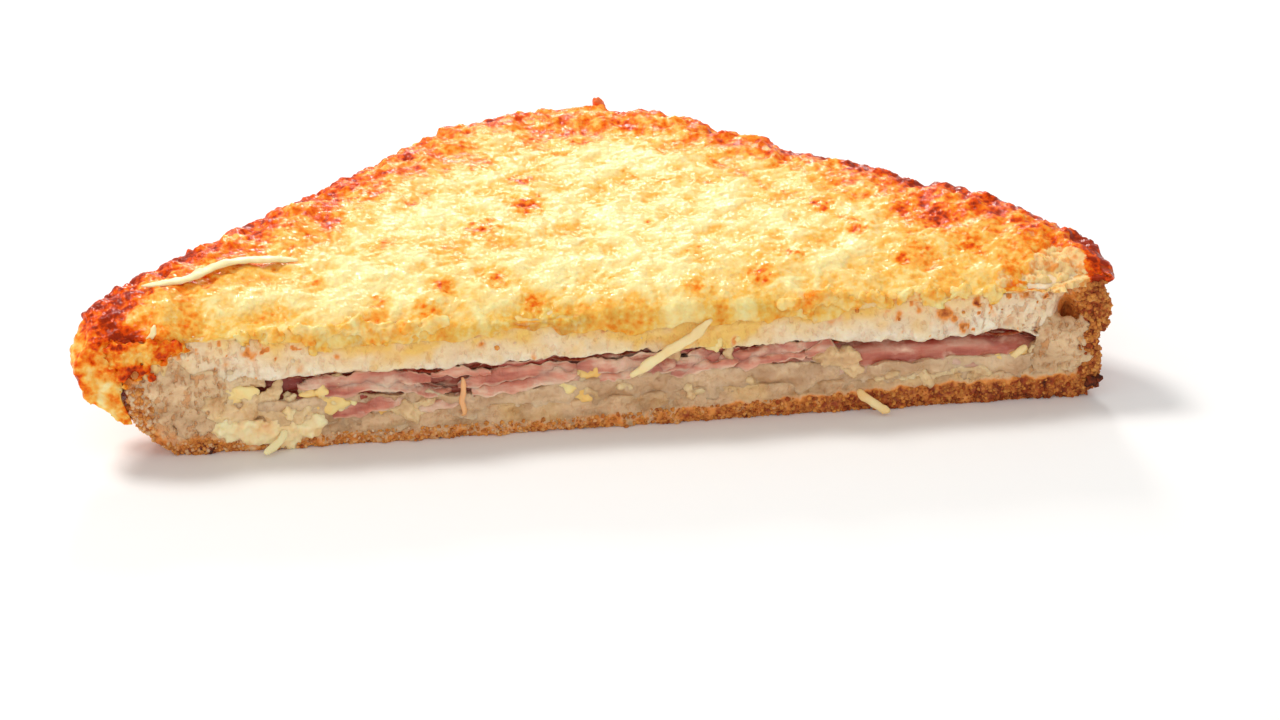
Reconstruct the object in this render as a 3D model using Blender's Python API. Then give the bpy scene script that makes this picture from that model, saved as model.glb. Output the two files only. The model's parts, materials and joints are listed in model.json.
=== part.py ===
"""Half of a grilled ham and cheese sandwich, cut corner to corner.

The half lies flat on its bottom slice. X runs along the cut, -Y faces out of the cut, +Z is up.
The pieces are worked out round the middle of the cut and then moved, so that the origin is the
middle of the bounding box's underside. All sizes are in metres.
"""

import math

import bmesh
import bpy
from mathutils import Vector

# Driving dimensions
SLICE_SIDE = 0.120  # side of the square loaf slice
CORNER_RADIUS = 0.026  # rounding of the loaf's corners
CRUST_BULGE = 0.0014  # how far the top slice's crust bulges out
GAP = 0.0003  # clearance between pieces that touch

# Heights above the plate
POCKET_FLOOR = 0.0052  # squeezed bottom slice under the filling
POCKET_ROOF = 0.0121  # underside of the top slice over the filling
LEVEL_HEIGHT = POCKET_ROOF - POCKET_FLOOR  # a level of the filling is a share of this
SEAM_LEFT = 0.0112  # where the two slices meet at the left end of the cut
SEAM_RIGHT = 0.0090
BREAD_TOP_BACK = 0.0212  # top slice away from the cut
BREAD_TOP_CUT = 0.0176  # top slice where the knife pressed it down
KNIFE_REACH = 0.010  # how far back the knife's pressing fades
FLOOR_WAVE = 0.0003  # unevenness of the pocket's floor, its roof, the bread's top and the cheese
ROOF_WAVE = 0.0004
TOP_WAVE = 0.0004
CHEESE_WAVE = 0.0003

# The pocket that holds the filling
RIM_START = 0.003  # closed rim of the two slices, in from the crust
RIM_WIDTH = 0.010  # over which the pocket opens to its full height
POCKET_INSETS = (0.0135, 0.0110, 0.0085, 0.0060, 0.0035)  # where the slices' faces are sampled
CUT_LIFT = 0.15  # how far those rings keep from the cut, as a share of their inset
FLOOR_EDGE = 0.0010  # rounding of the slices' edges, in from the crust
ROOF_EDGE = 0.0008
BREAD_TOP_EDGE = 0.0012
BASE_EDGE = 0.0030
FILLING_INSET = 0.0115  # edge of the sauces, in from the crust
HAM_INSET = 0.0125  # edge of the ham, in from the crust
HAM_STEP = 0.0030  # spacing of the points along a ham's section
HAM_DEPTHS = (0.0, 0.10, 0.28, 0.52, 0.76, 1.0)  # stations from the cut back to the ham's edge
LOWER_SAUCE_UNDER = 0.05  # levels of the sauces
LOWER_SAUCE_LEFT = 0.15
LOWER_SAUCE_RIGHT = 0.27
LOWER_SAUCE_RISE = 0.09  # length over which the lower sauce grows deeper to the right
SAUCE_STEPS = (0.008, 0.003)  # where the sauces' faces are sampled, in from their edge
UPPER_SAUCE_UNDER = 0.88
UPPER_SAUCE_OVER = 0.95
ROLL = 0.05  # how much the filling rises and falls along the cut and away from it, in levels
ROLL_BACK = 0.03
ROLL_LENGTH = 0.0075
ROLL_BACK_LENGTH = 0.006
ROLL_SLANT = 0.02

# Melted cheese on top
CHEESE_THICKNESS = 0.0021
CHEESE_RIM_PUFF = 0.0009  # extra thickness of the browned rim
CHEESE_RIM_PLACE = 0.004  # middle and width of the puffed rim, in from the crust
CHEESE_RIM_SPREAD = 0.005
CHEESE_THINNING = 0.35  # share of its thickness that it loses at the cut
CHEESE_OVERHANG = 0.0012  # how far the rim stands out past the crust
CHEESE_ROUNDING = 0.0006  # drop of the rim's shoulder below the cheese's top
CHEESE_INSETS = (0.0160, 0.0100, 0.0050, 0.0015)  # where its faces are sampled, in from the crust
BREAD_INSETS = (0.0150, 0.0050)
SKIRT_DROP = 0.0034  # how far the rim runs down the crust
SKIRT_THICKNESS = 0.0011
CUT_EDGE = (0.10, 0.85)  # at the cut, where the layer's edge starts and how far down it goes
APRON_DROP = 0.0150  # the apron of cheese that ran down the left corner
APRON_REACH = 0.0055  # how far it stands out; it starts partly out and comes back in at its foot
APRON_START = 0.30
APRON_CENTRE = Vector((-0.076, 0.003))
APRON_WIDTH = 0.0125

# The sides, from top to bottom: share of the way down, and how far out from the outline
BOTTOM_SLICE_SIDE = ((0.15, 0.0), (0.50, 0.0002), (0.82, -0.0008))
TOP_SLICE_SIDE = ((0.12, 0.0002), (0.45, CRUST_BULGE), (0.80, 0.0010))
SKIRT_SIDE = (0.30, 0.65, 0.95)

# Sampling of the faces and outlines
FACE_SHARES = (0.36, 0.70)
CUT_END_SPACING = 0.0022
CUT_END_STEPS = 6
CUT_MIDDLE_STEPS = 14
LEG_STEPS = 13
CORNER_STEPS = 10
END_STEPS = 5

HALF_SIDE = SLICE_SIDE / 2
MIDDLE = Vector((0.0, 0.36 * HALF_SIDE * math.sqrt(2)))

# Sections of the ham at the cut: (place along the cut, level) points, and thickness in levels
HAM_SECTIONS = {
    "ham_left_lower": (((-0.055, 0.39), (-0.034, 0.37), (-0.009, 0.40)), 0.24),
    "ham_left_upper": (((-0.048, 0.69), (-0.025, 0.68), (-0.006, 0.70)), 0.26),
    "ham_middle": (
        (
            (-0.001, 0.53), (0.014, 0.53), (0.0268, 0.53),
            (0.0284, 0.63), (0.0265, 0.74), (0.010, 0.74),
        ),
        0.15,
    ),
    "ham_right": (((0.0325, 0.60), (0.046, 0.61), (0.0605, 0.60)), 0.40),
}

# name: base colour, roughness
FINISHES = {
    "toasted_bread": ((0.80, 0.56, 0.32), 0.85),
    "white_bread": ((0.88, 0.74, 0.52), 0.85),
    "white_sauce": ((0.90, 0.82, 0.66), 0.45),
    "ham": ((0.78, 0.40, 0.32), 0.40),
    "melted_cheese": ((0.95, 0.70, 0.26), 0.40),
}


class RimPoint:
    """A point of a half slice's outline, with its outward normal. The cut itself never bulges."""

    def __init__(self, place, normal, crust):
        self.place = Vector(place)
        self.normal = Vector(normal)
        self.crust = crust


def wave(p, along, across, phase=0.0):
    """A gentle unevenness of -1 to 1, with its length along the cut and away from it."""
    return math.sin(p.x / along + phase) * math.cos(p.y / across)


def smooth(t):
    t = min(max(t, 0.0), 1.0)
    return t * t * (3 - 2 * t)


def arc(centre, radius, start, end, steps):
    """Rim points along an arc, angles in degrees, both ends included."""
    points = []
    for k in range(steps + 1):
        turn = math.radians(start + (end - start) * k / steps)
        normal = Vector((math.cos(turn), math.sin(turn)))
        points.append(RimPoint(centre + normal * radius, normal, True))
    return points


def straight(first, last, steps, normal):
    """Rim points on a straight crust side between two others, both ends left out."""
    return [
        RimPoint(first.place.lerp(last.place, k / steps), normal, True) for k in range(1, steps)
    ]


def cut_line(left, right):
    """Rim points along the cut, close together near its two ends, where the pocket opens."""
    length = right.place.x - left.place.x
    ends = [CUT_END_SPACING * k for k in range(1, CUT_END_STEPS + 1)]
    span = length - 2 * ends[-1]
    middle = [ends[-1] + span * k / CUT_MIDDLE_STEPS for k in range(1, CUT_MIDDLE_STEPS)]
    stations = ends + middle + [length - x for x in reversed(ends)]
    return [RimPoint((left.place.x + x, 0), (0, -1), False) for x in stations]


def half_slice(inset=0.0):
    """The outline of a square slice cut corner to corner, anticlockwise from the cut's right end.
    A positive inset moves the crust inwards and a negative one outwards. The cut stays put."""
    radius = CORNER_RADIUS - inset
    reach = (HALF_SIDE - CORNER_RADIUS) * math.sqrt(2)
    right = arc(Vector((reach, 0)), radius, 0, 45, END_STEPS)
    back = arc(Vector((0, reach)), radius, 45, 135, CORNER_STEPS)
    left = arc(Vector((-reach, 0)), radius, 135, 180, END_STEPS)
    return (
        right
        + straight(right[-1], back[0], LEG_STEPS, back[0].normal)
        + back
        + straight(back[-1], left[0], LEG_STEPS, left[0].normal)
        + left
        + cut_line(left[-1], right[0])
    )


def from_crust(p):
    """Distance of a point in from the crust, whatever its distance from the cut."""
    core = HALF_SIDE - CORNER_RADIUS
    across = abs(p.x + p.y) / math.sqrt(2) - core
    along = abs(p.x - p.y) / math.sqrt(2) - core
    outside = math.hypot(max(across, 0.0), max(along, 0.0))
    return CORNER_RADIUS - outside - min(max(across, along), 0.0)


def seam(p):
    """Height at which the two slices meet, which falls from the left end to the right end."""
    share = smooth(0.5 + p.x / (2 * HALF_SIDE))
    return SEAM_LEFT + (SEAM_RIGHT - SEAM_LEFT) * share


def pocket(p):
    """0 at the closed rim, 1 where the filling is."""
    return smooth((from_crust(p) - RIM_START) / RIM_WIDTH)


def pocket_floor(p):
    low = POCKET_FLOOR + FLOOR_WAVE * wave(p, 0.011, 0.013)
    return seam(p) + (low - seam(p)) * pocket(p)


def pocket_roof(p):
    high = POCKET_ROOF + ROOF_WAVE * math.sin(p.x / 0.014 + 1.0)
    return seam(p) + GAP + (high - seam(p) - GAP) * pocket(p)


def bread_top(p):
    """The top slice sags towards the cut, and its face is slightly uneven."""
    pressed = math.exp(-max(p.y, 0.0) / KNIFE_REACH)
    uneven = TOP_WAVE * wave(p, 0.012, 0.010, 0.7)
    return BREAD_TOP_BACK - (BREAD_TOP_BACK - BREAD_TOP_CUT) * pressed + uneven


def cheese_top(p):
    """Melted cheese: a lumpy layer, thinner at the cut and puffed up along the crust."""
    near_cut = math.exp(-max(p.y, 0.0) / KNIFE_REACH)
    rim = math.exp(-(((from_crust(p) - CHEESE_RIM_PLACE) / CHEESE_RIM_SPREAD) ** 2))
    uneven = CHEESE_WAVE * wave(p, 0.006, 0.007, 2.0 * math.sin(p.y / 0.009))
    thickness = CHEESE_THICKNESS * (1 - CHEESE_THINNING * near_cut) + CHEESE_RIM_PUFF * rim
    return bread_top(p) + GAP + thickness + uneven


def filling_height(p, level):
    """Height of a level of the filling: 0 is the pocket's floor and 1 its roof."""
    low = pocket_floor(p)
    return low + (pocket_roof(p) - low) * level


def filling_wave(p):
    """How much the layers of the filling rise and fall, as a share of the pocket's height."""
    along = math.sin(p.x / ROLL_LENGTH + 0.6)
    return ROLL * along + ROLL_BACK * math.sin(p.y / ROLL_BACK_LENGTH + p.x / ROLL_SLANT)


def lower_sauce_under(p):
    return LOWER_SAUCE_UNDER


def lower_sauce_over(p):
    """Top of the lower sauce, which is deeper under the right half of the ham."""
    rising = LOWER_SAUCE_RIGHT - LOWER_SAUCE_LEFT
    return LOWER_SAUCE_LEFT + rising * smooth(0.5 + p.x / LOWER_SAUCE_RISE) + filling_wave(p)


def upper_sauce_under(p):
    return UPPER_SAUCE_UNDER + 0.3 * filling_wave(p)


def upper_sauce_over(p):
    return UPPER_SAUCE_OVER


def add_object(name, bm, finish):
    bmesh.ops.recalc_face_normals(bm, faces=bm.faces)
    mesh = bpy.data.meshes.new(name)
    bm.to_mesh(mesh)
    bm.free()
    mesh.shade_smooth()
    mesh.set_sharp_from_angle(angle=math.radians(40))
    material = bpy.data.materials.get(finish) or new_material(finish)
    mesh.materials.append(material)
    made = bpy.data.objects.new(name, mesh)
    bpy.context.scene.collection.objects.link(made)
    return made


def new_material(finish):
    colour, roughness = FINISHES[finish]
    material = bpy.data.materials.new(finish)
    material.use_nodes = True
    shader = material.node_tree.nodes["Principled BSDF"]
    shader.inputs["Base Color"].default_value = (*colour, 1)
    shader.inputs["Roughness"].default_value = roughness
    shader.inputs["Metallic"].default_value = 0.0
    return material


def ringed_solid(name, rings, finish):
    """A closed solid that is a sphere in layout: a pole, rings of one point for each point of the
    outline, and a pole. rings go from the top pole to the bottom one, and a pole has one point."""
    bm = bmesh.new()
    count = len(rings[1])
    bands = len(rings) - 1
    bmesh.ops.create_uvsphere(bm, u_segments=count, v_segments=bands, radius=1)
    for v in bm.verts:
        band = round(math.acos(max(-1.0, min(1.0, v.co.z))) / math.pi * bands)
        turn = round(math.atan2(v.co.y, v.co.x) / (2 * math.pi) * count)
        ring = rings[band]
        v.co = ring[turn % len(ring)]
    return add_object(name, bm, finish)


def face_ring(height, inset, lift=0.0, share=1.0):
    """A ring on an upper or lower face: the outline moved in from the crust by inset and from the
    cut by lift, and then drawn in to a share of its size about the middle."""
    scale = 1 - lift / (HALF_SIDE * math.sqrt(2))
    ring = []
    for rim in half_slice(inset):
        p = MIDDLE.lerp(Vector((rim.place.x, lift + rim.place.y * scale)), share)
        ring.append((*p, height(p)))
    return ring


def pole(height):
    return [(*MIDDLE, height(MIDDLE))]


def wall_ring(share_down, offset, top, bottom):
    """A ring on the side wall, a share of the way from the upper face's edge to the lower one's."""
    ring = []
    for rim, moved in zip(half_slice(), half_slice(-offset)):
        high, low = top(rim.place), bottom(rim.place)
        ring.append((*moved.place, high + (low - high) * share_down))
    return ring


def inner_rings(height, insets):
    """Rings from the pole out to the last of the insets, for a face whose rim is made apart."""
    first = insets[0]
    rings = [pole(height)]
    rings += [face_ring(height, first, CUT_LIFT * first, share) for share in FACE_SHARES]
    rings += [face_ring(height, inset, CUT_LIFT * inset) for inset in insets]
    return rings


def plate(p):
    """Height of the plate that the half lies on."""
    return 0.0


def add_bottom_slice():
    """The squeezed slice, whose upper face rises to a closed rim along the crust."""
    rings = inner_rings(pocket_floor, POCKET_INSETS)
    rings.append(face_ring(pocket_floor, FLOOR_EDGE))
    for share_down, offset in BOTTOM_SLICE_SIDE:
        rings.append(wall_ring(share_down, offset, pocket_floor, plate))
    rings += [face_ring(plate, BASE_EDGE), face_ring(plate, BASE_EDGE, share=0.5), pole(plate)]
    return ringed_solid("bottom_slice", rings, "toasted_bread")


def add_top_slice():
    """The thicker slice, hollowed underneath to its own half of the pocket."""
    rings = inner_rings(bread_top, BREAD_INSETS)
    rings.append(face_ring(bread_top, BREAD_TOP_EDGE))
    for share_down, offset in TOP_SLICE_SIDE:
        rings.append(wall_ring(share_down, offset, bread_top, pocket_roof))
    rings.append(face_ring(pocket_roof, ROOF_EDGE))
    rings += inner_rings(pocket_roof, POCKET_INSETS)[::-1]
    return ringed_solid("top_slice", rings, "white_bread")


def apron(p):
    """1 where the cheese ran down the left corner, in a rounded lobe, and 0 elsewhere."""
    return math.exp(-(((p - APRON_CENTRE).length / APRON_WIDTH) ** 4))


def skirt_ring(drop_share, outward):
    """A ring of the cheese's rim, a share of the way down it and outward past the crust. Along the
    cut there is no rim to wrap over, so there it runs down the thickness of the layer."""
    ring = []
    start, run_down = CUT_EDGE
    for rim in half_slice():
        top, low = cheese_top(rim.place), bread_top(rim.place) + GAP
        if rim.crust:
            run = apron(rim.place)
            turn = APRON_START + (1.0 - APRON_START) * drop_share
            bulge = APRON_REACH * run * math.sin(math.pi * turn)
            p = rim.place + rim.normal * (outward + bulge)
            drop = SKIRT_DROP + (APRON_DROP - SKIRT_DROP) * run
            ring.append((*p, top - CHEESE_ROUNDING - drop * drop_share))
        else:
            ring.append((*rim.place, top + (low - top) * (start + run_down * drop_share)))
    return ring


def add_cheese():
    """The gratin. Its rim wraps over the crust and is hollow underneath, where the slice is."""

    def underside(p):
        return bread_top(p) + GAP

    inner = CRUST_BULGE + GAP
    outer = inner + SKIRT_THICKNESS
    rings = inner_rings(cheese_top, CHEESE_INSETS)
    rings += [skirt_ring(0.0, CHEESE_OVERHANG)]
    rings += [skirt_ring(share, outer) for share in SKIRT_SIDE]
    turned = skirt_ring(1.0, inner)
    rings += [turned, face_ring(underside, -inner)]
    rings += inner_rings(underside, BREAD_INSETS)[::-1]
    return ringed_solid("melted_cheese", rings, "melted_cheese")


def add_sauce(name, low_level, high_level, inset):
    """A layer of sauce that fills the pocket between two levels."""

    def under(p):
        return filling_height(p, low_level(p))

    def over(p):
        return filling_height(p, high_level(p))

    insets = [inset + step for step in SAUCE_STEPS]
    rings = inner_rings(over, insets) + [face_ring(over, inset), face_ring(under, inset)]
    rings += inner_rings(under, insets)[::-1]
    return ringed_solid(name, rings, "white_sauce")


def depth_at(x, inset):
    """How far back from the cut the filling goes at this place along the cut."""
    core = HALF_SIDE - CORNER_RADIUS
    radius = CORNER_RADIUS - inset
    reach = core * math.sqrt(2)
    shoulder = radius / math.sqrt(2)
    x = abs(x)
    if x < shoulder:
        return reach + math.sqrt(radius**2 - x**2)
    if x < reach + shoulder:
        return reach + radius * math.sqrt(2) - x
    return math.sqrt(max(radius**2 - (x - reach) ** 2, 0.0))


def ribbon(path, thickness, step):
    """The closed outline of a ribbon that follows a path of (x, level) points, smoothly joined.
    thickness is in levels. Returns (x, level) points, down one side and back up the other."""
    spine = []
    for k in range(len(path) - 1):
        before = path[max(k - 1, 0)]
        after = path[min(k + 2, len(path) - 1)]
        length = max(abs(path[k + 1][0] - path[k][0]), 0.25 * step)
        count = max(1, round(length / step))
        for j in range(count):
            spine.append(spline_point(before, path[k], path[k + 1], after, j / count))
    spine.append(Vector(path[-1]))
    sides = ([], [])
    for k, here in enumerate(spine):
        ahead = spine[min(k + 1, len(spine) - 1)] - spine[max(k - 1, 0)]
        run = Vector((ahead.x / LEVEL_HEIGHT, ahead.y)).normalized()
        across = Vector((-run.y * LEVEL_HEIGHT, run.x)) * (thickness / 2)
        sides[0].append(here - across)
        sides[1].append(here + across)
    return sides[0] + sides[1][::-1]


def spline_point(a, b, c, d, t):
    """A Catmull-Rom curve from b to c."""
    a, b, c, d = (Vector(p) for p in (a, b, c, d))
    return (
        b * 2 + (c - a) * t + (a * 2 - b * 5 + c * 4 - d) * t**2 + (b * 3 - a - c * 3 + d) * t**3
    ) / 2


def add_ham(name, path, thickness):
    """A slice of ham: a ribbon at the cut, drawn back through the sandwich to near the crust."""
    section = ribbon(path, thickness, HAM_STEP)
    bm = bmesh.new()

    def place(point, share):
        depth = depth_at(point.x, HAM_INSET) * share
        p = Vector((point.x, depth))
        return (*p, filling_height(p, point.y + filling_wave(p)))

    ring = [bm.verts.new(place(point, HAM_DEPTHS[0])) for point in section]
    front = bm.faces.new(ring)
    edges = list(front.edges)
    for share in HAM_DEPTHS[1:]:
        grown = bmesh.ops.extrude_edge_only(bm, edges=edges)["geom"]
        edges = [e for e in grown if isinstance(e, bmesh.types.BMEdge)]
        last, ring = ring, []
        for v in last:
            ring.append(next(e.other_vert(v) for e in v.link_edges if e.other_vert(v) in grown))
        for v, point in zip(ring, section):
            v.co = place(point, share)
    bm.faces.new(reversed(ring))
    bmesh.ops.triangulate(bm, faces=[f for f in bm.faces if len(f.verts) > 4])
    return add_object(name, bm, "ham")


def add_filling():
    """Sauce on the bottom slice, four lengths of ham, and the sauce under the top slice."""
    pieces = [
        add_sauce("lower_sauce", lower_sauce_under, lower_sauce_over, FILLING_INSET),
        add_sauce("upper_sauce", upper_sauce_under, upper_sauce_over, FILLING_INSET),
    ]
    for name, (path, thickness) in HAM_SECTIONS.items():
        pieces.append(add_ham(name, path, thickness))
    return pieces


def centre_on_origin(pieces):
    """Moves every piece so that the origin is the middle of the bounding box's underside."""
    corners = [v.co for piece in pieces for v in piece.data.vertices]
    low = Vector(min(c[k] for c in corners) for k in range(3))
    high = Vector(max(c[k] for c in corners) for k in range(3))
    move = Vector((-(low.x + high.x) / 2, -(low.y + high.y) / 2, -low.z))
    for piece in pieces:
        piece.location = move


def main():
    for old in list(bpy.data.objects):
        bpy.data.objects.remove(old)
    pieces = [add_bottom_slice(), add_top_slice(), add_cheese()]
    pieces += add_filling()
    centre_on_origin(pieces)


main()
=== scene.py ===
"""Half of a croque monsieur, cut corner to corner: the fine shapes and the finishes of its pieces.

Each piece starts as an even copy of its solid in the packed model, is refined where it shows, and
is then worked over like the food itself: crumb is roughened, cheese is bubbled and browned, ham is
torn. Grated cheese, granules of toast and melted bits are added as joined meshes.

Lengths are in metres. Places are given from the middle of the cut: x runs along the cut, y goes
back into the sandwich and z is the height above the plate. In the functions that shape a piece, p
is a place on it, n is the normal there and s holds the settings, and most of the other values are
shares from 0 to 1 that say how much something applies there.
"""

import json
import math
import random

import bmesh
import bpy
from bpy.props import FloatProperty, FloatVectorProperty, IntProperty, PointerProperty
from mathutils import Matrix, Vector, noise
from mathutils.bvhtree import BVHTree


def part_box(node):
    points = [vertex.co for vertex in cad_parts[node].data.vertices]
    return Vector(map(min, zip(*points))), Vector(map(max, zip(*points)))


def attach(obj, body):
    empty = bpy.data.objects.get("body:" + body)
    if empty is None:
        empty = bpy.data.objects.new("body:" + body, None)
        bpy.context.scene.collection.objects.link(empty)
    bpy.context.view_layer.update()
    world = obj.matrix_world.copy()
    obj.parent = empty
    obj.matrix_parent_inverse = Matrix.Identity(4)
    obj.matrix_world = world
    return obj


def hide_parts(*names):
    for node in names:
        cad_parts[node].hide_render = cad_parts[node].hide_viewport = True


bl_info = {
    "name": "Croque monsieur",
    "version": (1, 0, 0),
    "blender": (4, 5, 0),
    "location": "3D View > Sidebar > Croque",
    "description": "Dresses the model of a halved ham and cheese sandwich",
    "category": "Add Mesh",
}

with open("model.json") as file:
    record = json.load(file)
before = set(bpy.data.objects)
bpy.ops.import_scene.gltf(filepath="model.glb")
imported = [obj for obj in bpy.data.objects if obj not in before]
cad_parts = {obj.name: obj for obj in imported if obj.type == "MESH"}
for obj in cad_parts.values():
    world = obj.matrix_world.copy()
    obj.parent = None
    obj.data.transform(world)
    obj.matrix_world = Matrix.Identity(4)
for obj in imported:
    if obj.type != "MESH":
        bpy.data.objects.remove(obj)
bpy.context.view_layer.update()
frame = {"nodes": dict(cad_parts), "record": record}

BODY = "root"
MM = 0.001

# The half slice's outline, from the bottom slice's box
CORNER_RADIUS = 0.026
LOW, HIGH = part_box("bottom_slice")
CUT_MIDDLE = Vector(((LOW.x + HIGH.x) / 2, LOW.y, 0.0))
HALF_CUT = (HIGH.x - LOW.x) / 2
HALF_SIDE = (HALF_CUT - CORNER_RADIUS) / math.sqrt(2) + CORNER_RADIUS

# Heights at the cut
TOP_OF_BREAD = 0.0176
ROOF = 0.0121  # underside of the top slice

# How the meshes are treated
MERGE_DISTANCE = 0.00001
SMOOTHINGS = 2  # passes that round the steps of a remeshed solid
RUN_SMOOTHINGS = 4  # passes that soften the cheese that ran down over the cut
SPLITTINGS = 7  # most passes that split the long edges near the cut
LUMP_SPLITTINGS = 4  # how finely a lump is divided before it is fused with others
GRANULE_SPLITTINGS = 1
PLATE_GAP = 0.00005  # how far loose granules stay above the plate

# Blender's noise vectors are shifted by random amounts, which this seed makes the same each run
NOISE_SEED = 1
noise.seed_set(NOISE_SEED)


def display(red, green, blue):
    """A colour written as screen values from 0 to 255, as linear light."""
    return tuple(((c / 255 + 0.055) / 1.055) ** 2.4 if c > 10 else c / 3294 for c in (red, green, blue))


def rise(value, low, high):
    """0 below low, 1 above high, and a smooth step between them."""
    t = min(max((value - low) / (high - low), 0.0), 1.0)
    return t * t * (3.0 - 2.0 * t)


def fade(value, low, high):
    """1 below low, 0 above high, and a smooth step between them."""
    return 1.0 - rise(value, low, high)


def bell(value, middle, width):
    """1 at the middle, fading to nothing at about twice the width from it."""
    return math.exp(-(((value - middle) / width) ** 2))


def lumps(p, size, octaves=2, seed=0.0):
    """Soft noise around 0, mostly within 0.4 of it, whose lumps have the given size."""
    return noise.fractal(p / size + Vector((seed, seed * 1.7, -seed)), 1.0, 2.0, octaves)


def ripple(x, size, octaves=2, seed=0.0):
    """Lumps that vary along the cut only."""
    return lumps(Vector((x, 0, 0)), size, octaves, seed)


def cells(p, size, seed=0.0):
    """Distance to the nearest of scattered points that lie about a size apart, in sizes."""
    return noise.voronoi(p / size + Vector((seed, -seed, seed * 0.6)))[0][0]


def from_crust(p):
    """Distance of a place in from the crust, whatever its distance from the cut."""
    core = HALF_SIDE - CORNER_RADIUS
    across = abs(p.x + p.y) / math.sqrt(2) - core
    along = abs(p.x - p.y) / math.sqrt(2) - core
    outside = math.hypot(max(across, 0.0), max(along, 0.0))
    return CORNER_RADIUS - outside - min(max(across, along), 0.0)


# Meshes ------------------------------------------------------------------------------------


def made_object(name, bm):
    """Makes an object of a bmesh and frees the bmesh."""
    mesh = bpy.data.meshes.new(name)
    bm.to_mesh(mesh)
    bm.free()
    mesh.shade_smooth()
    made = bpy.data.objects.new(name, mesh)
    bpy.context.scene.collection.objects.link(made)
    return made


def solid_copy(node):
    """A copy of a node's solid with its doubles merged, placed from the middle of the cut."""
    bm = bmesh.new()
    bm.from_mesh(frame["nodes"][node].data)
    bmesh.ops.remove_doubles(bm, verts=bm.verts, dist=MERGE_DISTANCE)
    bmesh.ops.translate(bm, verts=bm.verts, vec=-CUT_MIDDLE)
    return bm


def smooth(bm, verts, rounds):
    """Softens the mesh at the given vertices."""
    for _ in range(rounds):
        bmesh.ops.smooth_vert(
            bm, verts=verts, factor=0.5, use_axis_x=True, use_axis_y=True, use_axis_z=True
        )


def fused(bm, voxel, smoothings=SMOOTHINGS):
    """The same shape remeshed to even quads, so that solids that cross share one skin."""
    rough = made_object("rough", bm)
    modifier = rough.modifiers.new("Even quads", "REMESH")
    modifier.mode = "VOXEL"
    modifier.voxel_size = voxel
    bm = bmesh.new()
    bm.from_object(rough, bpy.context.evaluated_depsgraph_get())
    mesh = rough.data
    bpy.data.objects.remove(rough)
    bpy.data.meshes.remove(mesh)
    smooth(bm, bm.verts, smoothings)
    return bm


def refine(bm, shows):
    """Divides the quads for which shows(middle, normal) is true in four."""
    bm.normal_update()
    shown = [f for f in bm.faces if shows(f.calc_center_median(), f.normal)]
    edges = {e for f in shown for e in f.edges}
    bmesh.ops.subdivide_edges(bm, edges=list(edges), cuts=1, use_grid_fill=True)
    bmesh.ops.triangulate(bm, faces=[f for f in bm.faces if len(f.verts) > 4])


def refine_band(bm, depth, length):
    """Splits the edges within a depth of the cut until they are shorter than a length."""
    for _ in range(SPLITTINGS):
        long = [
            e
            for e in bm.edges
            if min(v.co.y for v in e.verts) < depth and e.calc_length() > length
        ]
        if not long:
            return
        bmesh.ops.subdivide_edges(bm, edges=long, cuts=1)
        bmesh.ops.triangulate(bm, faces=[f for f in bm.faces if len(f.verts) > 3])


def mark_sides(bm):
    """Stores on each vertex of a flat solid whether it is on the upper side (1) or the lower (0).
    Vertices made later by dividing get values between."""
    bm.normal_update()
    side = bm.verts.layers.float.new("side")
    for v in bm.verts:
        v[side] = 1.0 if v.normal.z > 0 else 0.0


def work_over(bm, shape, tones=()):
    """Moves each vertex as shape(place, normal) says, and stores the tones that it gives there.
    In a solid with marked sides, shape gets the side as well."""
    bm.normal_update()
    layers = [bm.verts.layers.float.new(tone) for tone in tones]
    side = bm.verts.layers.float.get("side")
    if side:
        worked = [shape(v.co.copy(), v.normal.copy(), v[side]) for v in bm.verts]
    else:
        worked = [shape(v.co.copy(), v.normal.copy()) for v in bm.verts]
    for v, (move, values) in zip(bm.verts, worked):
        v.co += move
        for layer, value in zip(layers, values):
            v[layer] = value


def finished(name, bm, material, slot, nodes=()):
    """Moves the worked piece to its place in the frame and hands it to the model."""
    bmesh.ops.recalc_face_normals(bm, faces=bm.faces)
    bmesh.ops.translate(bm, verts=bm.verts, vec=CUT_MIDDLE)
    piece = made_object(name, bm)
    piece.data.materials.append(material)
    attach(piece, BODY)
    if nodes:
        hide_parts(*nodes)


def frame_slot(node):
    """The material slot that the record gives a node."""
    return next(part["material_slot"] for part in frame["record"]["subparts"] if part["node"] == node)


def outward(p):
    """Level direction out of the crust at a place."""
    step = 0.0005
    here = from_crust(p)
    x = here - from_crust(p + Vector((step, 0, 0)))
    y = here - from_crust(p + Vector((0, step, 0)))
    return Vector((x, y, 0)) / step


def spline(points, step):
    """Points about a step apart on a smooth curve through the given ones."""
    points = [Vector(p) for p in points]
    found = []
    for k in range(len(points) - 1):
        a, b = points[max(k - 1, 0)], points[k]
        c, d = points[k + 1], points[min(k + 2, len(points) - 1)]
        count = max(1, round((c - b).length / step))
        for j in range(count):
            t = j / count
            bend = (a * 2 - b * 5 + c * 4 - d) * t**2 + (b * 3 - a - c * 3 + d) * t**3
            found.append((b * 2 + (c - a) * t + bend) / 2)
    return found + [points[-1]]


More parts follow.
